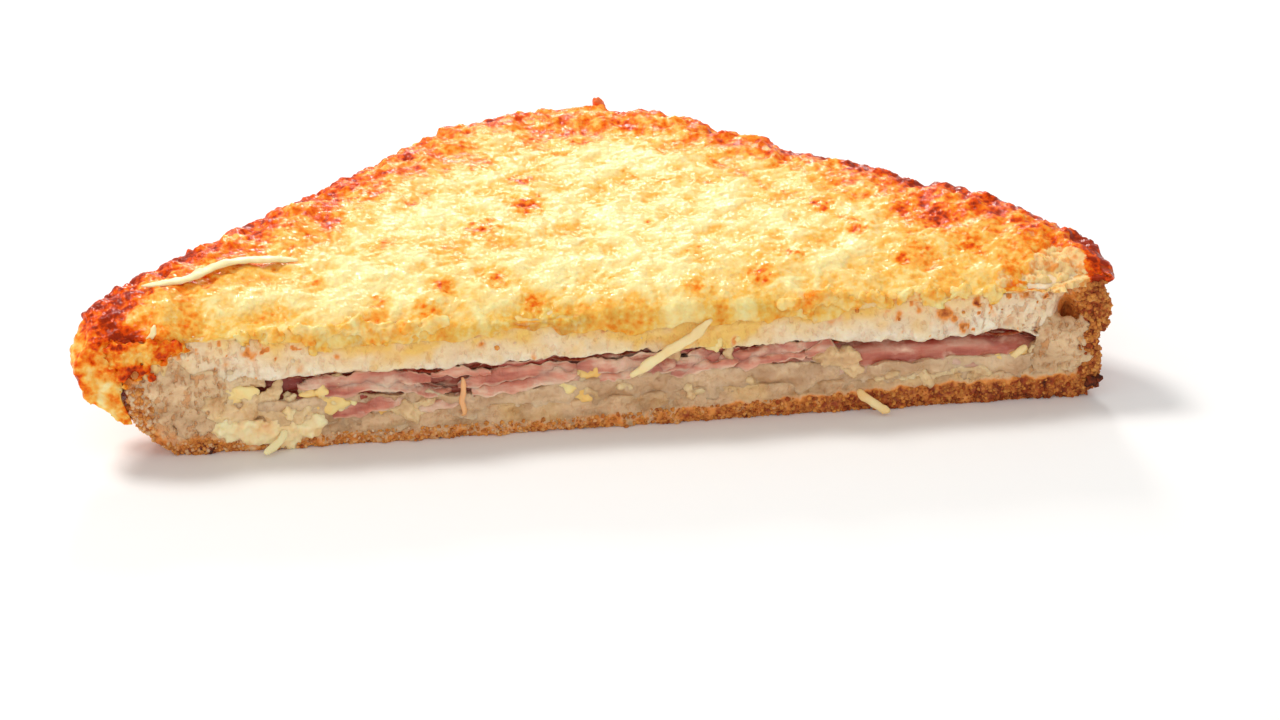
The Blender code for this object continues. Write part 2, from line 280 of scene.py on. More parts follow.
def draw_strip(bm, points, width, thickness, facing, step=0.0006, sides=10, seed=0.0):
    """A closed strip with rounded edges and tapered ends, drawn along a path. Its flat side looks
    along facing. Its width wavers a little, as a hand-grated shred's does. A mesh with a tone
    called edge gets 1 along the strip's edges and 0 along its middle."""
    path = spline(points, step)
    edge = bm.verts.layers.float.get("edge")
    turns = [math.pi / 2 - math.tau * j / sides for j in range(sides)]
    last = len(path) - 1
    rings = []
    for k, middle in enumerate(path):
        along = (path[min(k + 1, last)] - path[max(k - 1, 0)]).normalized()
        side = along.cross(facing).normalized()
        up = side.cross(along)
        taper = min(1.0, 0.35 + 4.0 * min(k, last - k) / last)
        waver = 1.0 + 0.25 * lumps(middle, 0.003, 2, seed)
        ring = []
        for turn in turns:
            across = side * math.cos(turn) * width * waver
            v = bm.verts.new(middle + (across + up * math.sin(turn) * thickness) * (taper / 2))
            if edge:
                v[edge] = abs(math.cos(turn))
            ring.append(v)
        rings.append(ring)
    for a, b in zip(rings, rings[1:]):
        for j in range(sides):
            bm.faces.new((a[j - 1], a[j], b[j], b[j - 1]))
    bm.faces.new(reversed(rings[0]))
    bm.faces.new(rings[-1])
    return [v for ring in rings for v in ring]


def add_granule(bm, place, size, dice):
    """A small uneven lump, turned at random."""
    stretch = Matrix.Diagonal([dice.uniform(0.6, 1.2) for _ in range(3)] + [1.0])
    turn = Matrix.Rotation(dice.uniform(0, math.tau), 4, Vector([dice.gauss(0, 1) for _ in range(3)]))
    matrix = Matrix.Translation(place) @ turn @ stretch
    made = bmesh.ops.create_icosphere(
        bm, subdivisions=GRANULE_SPLITTINGS, radius=size / 2, matrix=matrix
    )["verts"]
    for v in made:
        v.co += (v.co - place) * dice.uniform(-0.3, 0.3)
    return made


# Materials ---------------------------------------------------------------------------------


class Recipe:
    """Builds the nodes of one material. Each method adds a node and returns its output."""

    def __init__(self, name):
        self.material = bpy.data.materials.new(name)
        self.material.use_nodes = True
        self.tree = self.material.node_tree
        self.shader = self.tree.nodes["Principled BSDF"]
        self.coords = self.add("TexCoord", output="Object")

    def add(self, kind, output=0, inputs=None, **settings):
        """Any node, with its settings and its inputs by name or number."""
        made = self.tree.nodes.new("ShaderNode" + kind)
        for name, value in settings.items():
            setattr(made, name, value)
        for name, value in (inputs or {}).items():
            self.feed(made.inputs[name], value)
        return made.outputs[output]

    def feed(self, socket, value):
        """Links an output to a socket, or gives the socket a plain value."""
        if isinstance(value, bpy.types.NodeSocket):
            self.tree.links.new(value, socket)
        else:
            socket.default_value = value

    def tone(self, name):
        """A tone that the mesh stores on its vertices."""
        return self.add("Attribute", output="Fac", attribute_name=name)

    def noise(self, size, detail=3.0, stretch=(1, 1, 1)):
        """Noise from 0 to 1, its lumps as large as size."""
        spread = self.add("Mapping", inputs={0: self.coords, 3: [1 / s for s in stretch]})
        inputs = {"Vector": spread, "Scale": 0.5 / size, "Detail": detail, "Roughness": 0.55}
        return self.add("TexNoise", inputs=inputs)

    def cells(self, size):
        """Distance to the nearest of scattered points that lie about a size apart."""
        return self.add("TexVoronoi", inputs={"Vector": self.coords, "Scale": 1 / size})

    def maths(self, operation, a, b=0.0, c=0.0, clamp=False):
        """A sum on up to three values."""
        return self.add("Math", operation=operation, use_clamp=clamp, inputs={0: a, 1: b, 2: c})

    def weigh(self, a, low, high, new_low=0.0, new_high=1.0):
        """A value carried over from the range low to high to a new range, and kept inside it."""
        return self.add("MapRange", inputs={0: a, 1: low, 2: high, 3: new_low, 4: new_high})

    def mix(self, share, a, b):
        """The colour that lies a share of the way from a to b."""
        a, b = (c if isinstance(c, bpy.types.NodeSocket) else (*c, 1) for c in (a, b))
        return self.add("Mix", output=2, data_type="RGBA", inputs={0: share, 6: a, 7: b})

    def ramp(self, share, stops):
        """A colour that changes from stop to stop. Each stop is a place from 0 to 1 and a colour."""
        made = self.tree.nodes.new("ShaderNodeValToRGB")
        elements = made.color_ramp.elements
        while len(elements) < len(stops):
            elements.new(0.5)
        for element, (place, colour) in zip(elements, stops):
            element.position = place
            element.color = (*colour, 1)
        self.feed(made.inputs[0], share)
        return made.outputs[0]

    def bump(self, height, distance, strength=1.0, below=None):
        """The normal bent by a height, over one that is bent already."""
        inputs = {"Height": height, "Distance": distance, "Strength": strength}
        if below:
            inputs["Normal"] = below
        return self.add("Bump", inputs=inputs)

    def finish(self, colour, roughness, normal):
        """Feeds the shader and returns the material."""
        for name, value in (("Base Color", colour), ("Roughness", roughness), ("Normal", normal)):
            self.feed(self.shader.inputs[name], value)
        return self.material

    def let_light_in(self, share, reach, green, blue, shine=0.5):
        """Lets light into the food. Red goes as deep as reach, green and blue a share of it."""
        self.shader.subsurface_method = "RANDOM_WALK"
        for name, value in (
            ("Subsurface Weight", share), ("Subsurface Scale", reach),
            ("Subsurface Radius", (1.0, green, blue)), ("Specular IOR Level", shine),
        ):
            self.shader.inputs[name].default_value = value


# Settings ----------------------------------------------------------------------------------


def length(name, description, default):
    """A setting in metres."""
    return FloatProperty(
        name=name, description=description, default=default, min=0.0, subtype="DISTANCE", unit="LENGTH"
    )


def amount(name, description, default, high=1.0):
    """A setting without a unit, from 0 up."""
    return FloatProperty(name=name, description=description, default=default, min=0.0, max=high)


def colour(name, description, default):
    """A setting that holds a colour, as linear light."""
    return FloatVectorProperty(
        name=name, description=description, default=default, size=3, min=0.0, max=1.0, subtype="COLOR"
    )


class CheeseSettings(bpy.types.PropertyGroup):
    """The browned cheese on top and the shreds of it."""

    voxel: length("Detail", "Side of the even quads that the cheese starts from", 0.00078)
    swell: length("Swell", "Height of the soft swellings", 0.00070)
    strand_count: IntProperty(name="Strands", description="Grated strands that melted", default=900, min=0)
    strands: length("Strand height", "Height of the melted strands", 0.00036)
    bubbles: length("Bubbles", "Height of the small bubbles", 0.00020)
    rim_lumps: length("Rim lumps", "Height of the lumps along the browned rim", 0.0008)
    shoulder: length("Shoulder", "Depth over which the cheese rounds down to the cut", 0.0052)
    flow: length("Flow", "How far the cheese ran down over the cut", 0.0034)
    browning: amount("Browning", "How far the rim is browned", 1.0, 2.0)
    pale: colour("Pale", "Melted cheese that isn't browned", display(255, 232, 164))
    golden: colour("Golden", "Cheese that begins to brown", display(255, 192, 88))
    orange: colour("Orange", "Browned cheese", display(250, 140, 30))
    red: colour("Red", "Strongly browned cheese", display(232, 78, 2))
    burnt: colour("Burnt", "Burnt cheese at the crust", display(154, 42, 6))


class BreadSettings(bpy.types.PropertyGroup):
    """The two slices."""

    voxel: length("Detail", "Side of the even quads that a slice starts from", 0.0006)
    relief: length("Relief", "Height of the broad unevenness of the cut crumb", 0.00045)
    pores: length("Pores", "Depth of the crumb's pores", 0.0006)
    grain: length("Grain", "Height of the toasted crumbs", 0.00045)
    crumb: colour("Crumb", "Crumb of the bread", display(248, 216, 172))
    moist: colour("Moist crumb", "Crumb smeared by the knife and the sauce", display(255, 240, 216))
    soggy: colour("Soggy crumb", "Crumb of the bottom slice, wet with sauce", display(212, 174, 134))
    soaked: colour("Soaked crumb", "Crumb soaked by the cheese", display(252, 204, 112))
    toasted: colour("Toasted", "Lightly toasted crumb", display(240, 152, 70))
    brown: colour("Brown", "Toasted crust", display(164, 70, 26))
    charred: colour("Charred", "Burnt crust", display(66, 26, 12))
    granules: IntProperty(name="Granules", description="Loose toasted granules", default=1900, min=0)
    specks: IntProperty(name="Specks", description="Toasted specks on the cut crumb", default=30, min=0)


class FillingSettings(bpy.types.PropertyGroup):
    """Ham and white sauce."""

    ragged: length("Ragged", "How unevenly the ham was torn at the cut", 0.0008)
    ham: colour("Ham", "Lean of the ham", display(222, 142, 116))
    ham_pale: colour("Pale ham", "Paler streaks of the ham", display(244, 206, 178))
    # Also the colour of the painted shade on the ham and on the sauce under the top slice
    ham_deep_and_shade: colour("Deep ham", "Darker streaks of the ham", display(156, 50, 34))
    sauce: colour("Sauce", "Set white sauce", display(232, 196, 146))
    thin_sauce: colour("Thin sauce", "Sauce that soaked the lower crumb", display(214, 178, 138))
    shred_width: length("Shred width", "Width of a grated shred of cheese", 0.0021)
    bit_size: length("Melted bits", "Size of the melted bits of cheese", 0.0024)
    folds: length("Ham folds", "Depth of the folds of the torn ham", 0.0007)


class StageSettings(bpy.types.PropertyGroup):
    """Camera, floor and lights."""

    key: amount("Key light", "Power of the lamp behind and above, in watts", 8.0, 1000.0)
    window: amount("Window", "Power of the low lamp behind that makes glints, in watts", 4.6, 1000.0)
    front: amount("Front light", "Power of the lamp that fills the cut, in watts", 2.5, 1000.0)
    sky: amount("Sky", "Strength of the even white light", 0.60, 10.0)
    floor: colour("Floor", "Colour of the floor", (0.90, 0.905, 0.915))
    camera_turn: FloatProperty(
        name="Camera turn", description="Camera's direction round the cut",
        default=math.radians(-9), subtype="ANGLE", unit="ROTATION",
    )
    camera_rise: FloatProperty(
        name="Camera rise", description="Camera's height above the plate, as an angle",
        default=math.radians(22.5), subtype="ANGLE", unit="ROTATION",
    )
    distance: length("Distance", "From the camera to the middle of the sandwich", 0.70)
    lens: FloatProperty(name="Lens", description="Focal length in mm", default=125.7, min=1.0)


# Finishes ----------------------------------------------------------------------------------

GRATED = (1.0, 0.93, 0.74)  # colour of grated cheese before it melts


def cheese_colour(recipe, s, brown):
    """Pale in the middle, then golden, orange, red and burnt as it browns."""
    stops = ((0.00, s.pale), (0.20, s.golden), (0.46, s.orange), (0.74, s.red), (1.00, s.burnt))
    return recipe.ramp(brown, stops)


def cheese_finish(s, bread, name):
    """Browned and glossy melted cheese, with the crumb that it left bare at the right corner and painted
    shade in that crumb's holes.
    """
    recipe = Recipe(name)
    coarse = recipe.weigh(recipe.noise(0.0020, 3), 0.25, 0.75, -0.5, 0.5)
    fine = recipe.weigh(recipe.noise(0.0004, 2), 0.25, 0.75, -0.5, 0.5)
    blister = recipe.weigh(recipe.cells(0.0010), 0.1, 0.7, 0.5, -0.5)
    browning = recipe.tone("browning")
    reach = recipe.weigh(browning, 0.12, 0.48, 0.13, 0.80)
    speckle = recipe.maths("MULTIPLY_ADD", coarse, 0.50, recipe.maths("MULTIPLY", fine, 0.60))
    speckle = recipe.maths("MULTIPLY_ADD", blister, 0.35, speckle)
    brown = recipe.maths("MULTIPLY_ADD", speckle, reach, browning, clamp=True)
    melted = cheese_colour(recipe, s, brown)
    crumb = recipe.mix(recipe.noise(0.0018, 4), bread.soaked, bread.crumb)
    # Holes in the bare crumb are only painted, towards the toasted colour: painted shade in them
    shaded_holes = recipe.weigh(recipe.noise(0.0007, 3), 0.48, 0.62, 0.0, 0.9)
    crumb = recipe.mix(shaded_holes, crumb, bread.toasted)
    bare = recipe.maths("MULTIPLY_ADD", coarse, 0.9, recipe.tone("bare"))
    bare = recipe.maths("MULTIPLY_ADD", fine, 0.6, bare)
    somewhere = recipe.weigh(recipe.tone("bare"), 0.0, 0.2)
    bare = recipe.maths("MULTIPLY", recipe.weigh(bare, 0.35, 0.55), somewhere)
    colour = recipe.mix(bare, melted, crumb)
    bubbles = recipe.bump(recipe.cells(0.0008), 0.00024, 0.6)
    rough = recipe.bump(recipe.noise(0.0005, 3), 0.00032, 0.8, bubbles)
    gloss = recipe.weigh(recipe.noise(0.0010), 0.3, 0.7, 0.08, 0.24)
    gloss = recipe.maths("MULTIPLY_ADD", recipe.tone("bare"), 0.55, gloss, clamp=True)
    recipe.let_light_in(0.35, 0.0018, green=0.60, blue=0.25, shine=0.10)
    return recipe.finish(colour, gloss, rough)


def bread_finish(name, s, wet, mottle=0.12):
    """Crumb, soaked by the cheese and wet by the sauce, with toasted and charred crust and painted shade
    in its pores and holes. mottle is how much the wet crumb varies."""
    recipe = Recipe(name)
    patches = recipe.weigh(recipe.noise(0.0022, 4, (1.8, 1, 0.8)), 0.3, 0.7)
    grains = recipe.weigh(recipe.noise(0.0005, 2), 0.35, 0.75, 0.0, 0.35)
    # Holes that are bumped in and painted darker where the crumb is open: painted shade in them
    shaded_holes = recipe.weigh(recipe.noise(0.0006, 2, (0.8, 1, 1.2)), 0.53, 0.66)
    shaded_holes = recipe.maths("MULTIPLY", shaded_holes, recipe.tone("open"))
    fine = recipe.weigh(recipe.noise(0.00055, 3), 0.25, 0.75, -0.5, 0.5)
    red, green, blue = wet
    dim = (red * (1 - mottle), green * (1 - 1.3 * mottle), blue * (1 - 1.6 * mottle))
    bright = (red * (1 + 0.6 * mottle), green * (1 + 0.7 * mottle), blue * (1 + 0.8 * mottle))
    wet = recipe.mix(recipe.weigh(recipe.noise(0.0016, 4, (1.5, 1, 0.8)), 0.38, 0.62), dim, bright)
    crumb = recipe.mix(patches, s.crumb, wet)
    crumb = recipe.mix(recipe.tone("moist"), crumb, wet)
    crumb = recipe.mix(grains, crumb, tuple(0.78 * c for c in s.crumb))
    crumb = recipe.mix(recipe.tone("soaked"), crumb, s.soaked)
    # Pores and holes are mixed towards a dim toasted colour: painted shade inside them
    deep = recipe.mix(0.55, crumb, tuple(0.8 * c for c in s.toasted))
    crumb = recipe.mix(recipe.maths("MAXIMUM", shaded_holes, recipe.tone("pore")), crumb, deep)
    toast = recipe.tone("toast")
    reach = recipe.weigh(toast, 0.0, 0.5, 0.0, 0.45)
    shade = recipe.maths("MULTIPLY_ADD", fine, reach, toast, clamp=True)
    stops = ((0.0, s.crumb), (0.35, s.toasted), (0.70, s.brown), (1.0, s.charred))
    crust = recipe.ramp(shade, stops)
    colour = recipe.mix(recipe.weigh(toast, 0.04, 0.30), crumb, crust)
    pits = recipe.bump(recipe.cells(0.0006), 0.0002, 0.45)
    sunk = recipe.bump(recipe.maths("MULTIPLY", shaded_holes, -1.0), 0.0004, 0.8, pits)
    rough = recipe.bump(recipe.noise(0.0003, 3), 0.00025, 0.7, sunk)
    gloss = recipe.weigh(recipe.tone("moist"), 0.0, 1.0, 0.80, 0.45)
    recipe.let_light_in(0.35, 0.0018, green=0.65, blue=0.40, shine=0.3)
    return recipe.finish(colour, gloss, rough)


def ham_finish(s):
    """Moist pink ham: streaked along its length, with painted shade deep in its folds and paler at its
    edges.
    """
    recipe = Recipe("Ham")
    streaks = recipe.noise(0.0016, 4, (3, 2, 0.7))
    lean = recipe.ramp(streaks, ((0.30, s.ham_deep_and_shade), (0.50, s.ham), (0.70, s.ham_pale)))
    # The deep tone paints shade: dark red in folds, under the lip and on sheets set back
    lean = recipe.mix(recipe.tone("deep"), lean, s.ham_deep_and_shade)
    colour = recipe.mix(recipe.tone("edge"), lean, s.ham_pale)
    smears = recipe.weigh(recipe.noise(0.0020, 4, (1.6, 1, 0.8)), 0.54, 0.66, 0.0, 0.70)
    colour = recipe.mix(smears, colour, s.ham_pale)
    fibres = recipe.bump(recipe.noise(0.0005, 3, (0.6, 1, 3)), 0.0003, 0.6)
    sheets = recipe.bump(recipe.noise(0.0006, 2, (5, 1, 0.6)), 0.0003, 0.6, fibres)
    gloss = recipe.weigh(recipe.noise(0.0014), 0.3, 0.7, 0.28, 0.50)
    recipe.let_light_in(0.4, 0.0018, green=0.40, blue=0.28)
    return recipe.finish(colour, gloss, sheets)


def sauce_finish(name, tint):
    """Set white sauce, moist and slightly grainy."""
    recipe = Recipe(name)
    patches = recipe.weigh(recipe.noise(0.0022, 4, (1.6, 1, 0.8)), 0.35, 0.65)
    red, green, blue = tint
    thick = (red * 0.80, green * 0.70, blue * 0.62)
    thin = (red * 1.18, green * 1.25, blue * 1.32)
    colour = recipe.mix(patches, thick, thin)
    flecks = recipe.weigh(recipe.noise(0.0005, 3), 0.58, 0.72, 0.0, 0.45)
    colour = recipe.mix(flecks, colour, (red * 0.60, green * 0.42, blue * 0.30))
    pits = recipe.bump(recipe.cells(0.0009), 0.0003, 0.5)
    grain = recipe.bump(recipe.noise(0.0005, 3), 0.0003, 0.8, pits)
    gloss = recipe.weigh(recipe.noise(0.0014), 0.3, 0.7, 0.22, 0.50)
    recipe.let_light_in(0.4, 0.0020, green=0.70, blue=0.45)
    return recipe.finish(colour, gloss, grain)


def shred_finish(name, s, white=0.25):
    """Grated cheese that softened but kept its shape. white is how pale it stayed."""
    recipe = Recipe(name)
    uneven = recipe.weigh(recipe.noise(0.0020), 0.3, 0.7, -0.5, 0.5)
    brown = recipe.maths("MULTIPLY_ADD", uneven, 0.15, recipe.tone("browning"), clamp=True)
    colour = recipe.mix(white, cheese_colour(recipe, s, brown), GRATED)
    grain = recipe.bump(recipe.noise(0.0006, 3), 0.0002, 0.6)
    recipe.let_light_in(0.3, 0.0012, green=0.60, blue=0.25)
    return recipe.finish(colour, 0.38, grain)


def floor_finish(s):
    """A plain pale floor."""
    recipe = Recipe("Floor")
    tint = recipe.mix(recipe.noise(0.004), s.floor, [c * 0.99 for c in s.floor])
    flat = recipe.bump(recipe.noise(0.002), 0.00001, 0.1)
    return recipe.finish(tint, 0.7, flat)


# Cheese ------------------------------------------------------------------------------------

# Browned spots on top: place along the cut and back from it, radius in mm, and strength
SPOTS = (
    (-18, 26, 2.8, 0.60), (-10, 34, 2.4, 0.62), (-9, 44, 2.4, 0.55), (-15, 52, 2.2, 0.50),
    (-18, 9, 2.2, 0.45), (-29, 3, 1.8, 0.50), (29, 11, 2.0, 0.55), (22, 6, 1.8, 0.50),
    (-23, 16, 1.6, 0.35), (-46, 12, 2.0, 0.30), (-33, 22, 1.8, 0.30), (8, 24, 0.6, 0.75),
    (36, 27, 2.6, 0.40), (40, 18, 2.2, 0.50), (48, 12, 2.2, 0.35), (-1, 7, 0.5, 0.75),
    (14, 14, 1.5, 0.30), (2, 60, 3.0, 0.30), (-40, 30, 2.2, 0.35), (52, 20, 2.5, 0.35),
    (-26, 8, 1.6, 0.40), (-13, 4, 1.4, 0.40), (-36, 5, 1.5, 0.35), (12, 4, 1.8, 0.35),
    (44, 8, 1.5, 0.40), (56, 10, 1.8, 0.40), (-28, 36, 1.6, 0.30), (16, 32, 1.6, 0.25),
)
# Creases where strands of cheese lay, as places along the cut and back from it, in mm
CREASES = (
    ((-6, 58), (-2, 56), (4, 51), (9, 44), (13, 41), (24, 39)),
    ((12, 54), (20, 50), (26, 43), (29, 36), (40, 18)),
)


def distance(here, start, end):
    """Distance from a place to the straight line between two others."""
    along = end - start
    share = min(max((here - start).dot(along) / along.length_squared, 0.0), 1.0)
    return (start + along * share - here).length


def line_distance(here, points):
    """Distance in the plane from a place to a line through points that are given in mm."""
    points = [Vector(point) * MM for point in points]
    return min(distance(here, start, end) for start, end in zip(points, points[1:]))


def spot(away, radius, strength):
    """How strong a spot is at a distance from its middle. Its radius is given in mm."""
    if away > 3 * radius * MM:
        return 0.0
    return strength * bell(away, 0.0, radius * MM)


class Strands:
    """Grated strands that melted into the top, kept by the square of the plane that they cross."""

    SQUARE = 0.002
    LEAN = 0.5  # the direction that most of them lie in
    SPREAD = 0.8
    MOST_BEND = 0.7
    HALF_LENGTHS = (0.0015, 0.0050)
    WIDTHS = (0.0005, 0.0009)

    def __init__(self, count, dice):
        self.squares = {}
        for _ in range(count):
            middle = Vector((dice.uniform(-HALF_CUT, HALF_CUT), dice.uniform(0, HALF_CUT)))
            turn = dice.gauss(self.LEAN, self.SPREAD)
            bend = dice.uniform(-self.MOST_BEND, self.MOST_BEND)
            half = dice.uniform(*self.HALF_LENGTHS)
            width = dice.uniform(*self.WIDTHS)
            height = dice.uniform(0.3, 1.0)
            for lean in (turn + bend, turn + math.pi - bend):
                end = middle + half * Vector((math.cos(lean), math.sin(lean)))
                self.keep((middle, end, width, height))

    def keep(self, strand):
        """Lists a strand in the squares that it crosses and in those around them."""
        start, end = strand[:2]
        steps = math.ceil((end - start).length / self.SQUARE) + 1
        for k in range(steps + 1):
            column, row = (math.floor(c / self.SQUARE) for c in start.lerp(end, k / steps))
            for square in ((column + i, row + j) for i in (-1, 0, 1) for j in (-1, 0, 1)):
                held = self.squares.setdefault(square, [])
                if strand not in held:
                    held.append(strand)

    def height(self, p):
        """Height from 0 to 1 of the strands at a place."""
        best = 0.0
        here = Vector((p.x, p.y))
        square = (math.floor(p.x / self.SQUARE), math.floor(p.y / self.SQUARE))
        for start, end, width, height in self.squares.get(square, ()):
            away = distance(here, start, end) / width
            if away < 1.0:
                best = max(best, height * math.sqrt(1.0 - away * away))
        return best


def bare_corner(p):
    """1 where the crumb shows through at the right corner of the cut."""
    near = math.hypot((p.x - 0.0672) * 0.9, (p.y - 0.001) * 0.9)
    bare = fade(near + 0.004 * lumps(p, 0.004, 3, 3.0), 0.0030, 0.0080)
    return bare * rise(from_crust(p) + 0.001 * lumps(p, 0.002, 2, 29.0), 0.0010, 0.0030)


def browned_width(p):
    """How far in from the crust the browning reaches, which is farther at the corners."""
    right = 0.0060 * rise(p.x, 0.028, 0.056)
    return 0.0095 + 0.0060 * bell(p.x, 0.0, 0.022) + 0.0060 * bell(p.x, -0.045, 0.022) + right


def browning(p, s, height):
    """How far the cheese is browned, 0 to 1. Low places are painted more golden than high ones, as warm
    painted shade.
    """
    edge = from_crust(p) + 0.0032 * lumps(p, 0.007, 3, 7.0)
    width = browned_width(p)
    wide = fade(edge, 0.2 * width, 1.2 * width)
    dark = fade(edge + 0.0012 * lumps(p, 0.0022, 2, 2.0), -0.0020, 0.0036)
    value = 0.07 + 0.13 * lumps(p, 0.0110, 3, 11.0) + 0.06 * lumps(p, 0.0024, 2, 37.0)
    # Painted shade: the lower a place, the more golden
    value -= 0.15 * height
    strong = 0.42 + 0.10 * rise(abs(p.x), 0.015, 0.050) + 0.34 * lumps(p, 0.0030, 3, 10.0)
    value += s.browning * wide * strong
    sides = rise(abs(p.x), 0.018, 0.050)
    value += s.browning * dark * (0.16 + 0.12 * sides + 0.12 * rise(p.x, 0.04, 0.06))
    value -= 0.05 * rise(-p.x, 0.054, 0.068) * rise(edge, -0.001, 0.003)
    value += 0.05 * fade(p.y, 0.0, 0.006)
    ragged = 0.8 + 1.2 * lumps(p, 0.0009, 2, 4.0)
    bent = p + 0.0012 * noise.noise_vector(p / 0.0024)
    for x, y, radius, strength in SPOTS:
        away = math.hypot(bent.x - x * MM, (bent.y - y * MM) * 0.8)
        value += spot(away, radius, strength) * ragged
    for crease in CREASES:
        value += 0.20 * bell(line_distance(bent.xy, crease), 0.0, 0.0010) * ragged
    return max(value, 0.24 * wide) + 0.05 * rise(p.x, 0.020, 0.050)


def hangs(p, edge):
    """1 on the apron of cheese that hangs from the left corner."""
    return bell(p.x, -0.079, 0.009) * fade(p.z, 0.0165, 0.0215) * fade(edge, -0.001, 0.001)


def crumbly(x):
    """1 along the cut where crumb, not cheese, shows right up to the top."""
    right = rise(x, 0.026, 0.044) * fade(x, 0.067, 0.071)
    return max(right, rise(-x, 0.048, 0.060) * fade(-x, 0.071, 0.074))


def drips(x):
    """Where along the cut the cheese ran down over the crumb, 0 to 1."""
    wanders = ripple(x, 0.0130, 1, 5.0) + 0.22 * ripple(x, 0.0040, 2, 6.0)
    wanders += 0.40 * bell(x, 0.002, 0.028) + 0.80 * bell(x, 0.013, 0.011)
    wanders -= 0.25 * rise(x, 0.035, 0.055) + 0.15 * rise(-x, 0.045, 0.058)
    wanders -= 0.50 * bell(x, -0.022, 0.007) + 0.60 * bell(x, -0.046, 0.005)
    return rise(wanders, -0.75, 0.75)


def tuck(p, edge, apron, corner):
    """How the cheese's lower edge is moved: the apron inwards, the right corner up, and the hem
    around the crust up and down."""
    move = Vector((0.0026 * apron * fade(p.z, 0.004, 0.012), 0, 0))
    lifted = corner * fade(p.z, TOP_OF_BREAD - 0.001, TOP_OF_BREAD + 0.002)
    move += Vector((-0.0018 * lifted, 0, 0.0030 * lifted))
    hem = fade(edge, 0.0005, 0.0020) * fade(p.z, TOP_OF_BREAD - 0.0008, TOP_OF_BREAD + 0.0044)
    hem *= rise(p.y, 0.003, 0.007) * (1.0 - 0.5 * apron)
    move.z += hem * (0.0046 * lumps(Vector((p.x, p.y, 0)), 0.0060, 3, 64.0) - 0.0004)
    return move


def cheese_height(p, n, s, swelling, strand, rim, bare):
    """Height of the swellings, strands, bubbles, lumps of the rim and bare crumb."""
    melt = 0.6 + 0.4 * lumps(p, 0.012, 2, 17.0)
    height = s.swell * swelling + 0.25 * s.swell * lumps(p, 0.0020, 2, 41.0)
    height += s.strands * strand * melt * (1.0 - 0.4 * rim) * rise(n.z, 0.1, 0.5)
    height += s.bubbles * (0.5 - cells(p, 0.0013)) * (0.6 + 1.6 * rim)
    height += s.bubbles * (0.5 - cells(p, 0.0007, 4.0)) * (0.4 + 0.6 * rim)
    height += s.rim_lumps * rim * lumps(p, 0.0030, 3, 8.0) * rise(p.y, -0.002, 0.006)
    height -= 0.0006 * bare * rise(n.z, 0.2, 0.8)
    return height + bare * (
        0.0014 * lumps(p, 0.0018, 3, 9.0) + 0.0007 * lumps(p, 0.0007, 2, 55.0)
    )


def run_down(move, p, s, front, apron, bare, drip, middle, dry):
    """Adds to a move how the cheese thins towards the cut, runs down over it and bulges there."""
    share = 0.30 + 0.50 * drip + 0.20 * ripple(p.x, 0.0035, 2, 42.0)
    share = max(share * (1.0 - 0.6 * bare), 0.12)
    share += (0.6 - share) * rise(-p.x, 0.062, 0.070)
    thins = fade(p.y, -0.0010, s.shoulder)
    move.z -= max(p.z - TOP_OF_BREAD, 0.0) * (1.0 - share) * thins * (1.0 - apron)
    height = p.z - 0.0009 * bell(p.x, 0.009, 0.018)
    low = fade(height, TOP_OF_BREAD + 0.0002, TOP_OF_BREAD + 0.0019)
    lobes = 0.0016 * ripple(p.x, 0.0040, 3, 61.0)
    flows = s.flow * drip + 0.0008 * (1.0 - drip) * middle + lobes * middle
    move.z -= flows * (1.0 - 0.8 * dry) * front * low
    bulge = 0.0003 + 0.0009 * drip + 0.0004 * drip * lumps(p, 0.0022, 2, 35.0)
    bulge *= rise(drip, 0.0, 0.3) * (1.0 - 0.62 * low) * (1.0 - 0.8 * dry)
    move.y -= front * bulge


def work_cheese(bm, s):
    """Browns the cheese, gives it its relief and lets it run down over the cut."""
    strands = Strands(s.strand_count, random.Random(3))

    def shape(p, n):
        edge = from_crust(p)
        apron = hangs(p, edge)
        rim = fade(edge, 0.001, 0.010)
        front = rise(-n.y, 0.2, 0.8) * fade(p.y, 0.0004, 0.0015)
        swelling = lumps(p, 0.0055, 3)
        strand = strands.height(p)
        brown = browning(p, s, swelling + strand - 0.4)
        patchy = 0.42 + 0.60 * lumps(p, 0.0040, 3, 6.0) + 0.25 * lumps(p, 0.0012, 2, 12.0)
        # Faces turned to the front are painted a little more golden: warm painted shade on the side away
        # from the key lamp
        brown += apron * (patchy - brown) + 0.06 * rise(-n.y, 0.2, 0.8) * (1.0 - apron)

        bare = bare_corner(p)
        drip = drips(p.x) * fade(abs(p.x), 0.060, 0.066)
        dry = crumbly(p.x)
        middle = fade(abs(p.x + 0.002), 0.060, 0.068)
        over = rise(p.z, TOP_OF_BREAD + 0.0002, TOP_OF_BREAD + 0.0014)
        soft = 0.30 * front * (1.0 - over) * (1.0 - drip) * middle
        border = p.z + 0.0010 * lumps(p, 0.0028, 3, 63.0)
        above = rise(border, TOP_OF_BREAD + 0.0008, TOP_OF_BREAD + 0.0020)
        soft = max(soft, 0.85 * dry * rise(-n.y, 0.0, 0.5) * (1.0 - above))
        tones = (brown, min(bare + soft, 1.0))

        corner = rise(p.x, 0.066, 0.073) * fade(p.y, 0.003, 0.010)
        tucked = tuck(p, edge, apron, corner)
        if n.z < -0.35 or (n.dot(outward(p)) < -0.4 and edge < 0.0005):
            return tucked, tones
        height = cheese_height(p, n, s, swelling, strand, rim, bare) * (1.0 - 0.7 * corner)
        move = n * height + tucked
        run_down(move, p, s, front, apron, bare, drip, middle, dry)
        return move, tones

    work_over(bm, shape, ("browning", "bare"))
    near_cut = [v for v in bm.verts if v.co.y < 0.0014 and abs(v.co.x) < 0.064]
    smooth(bm, near_cut, RUN_SMOOTHINGS)


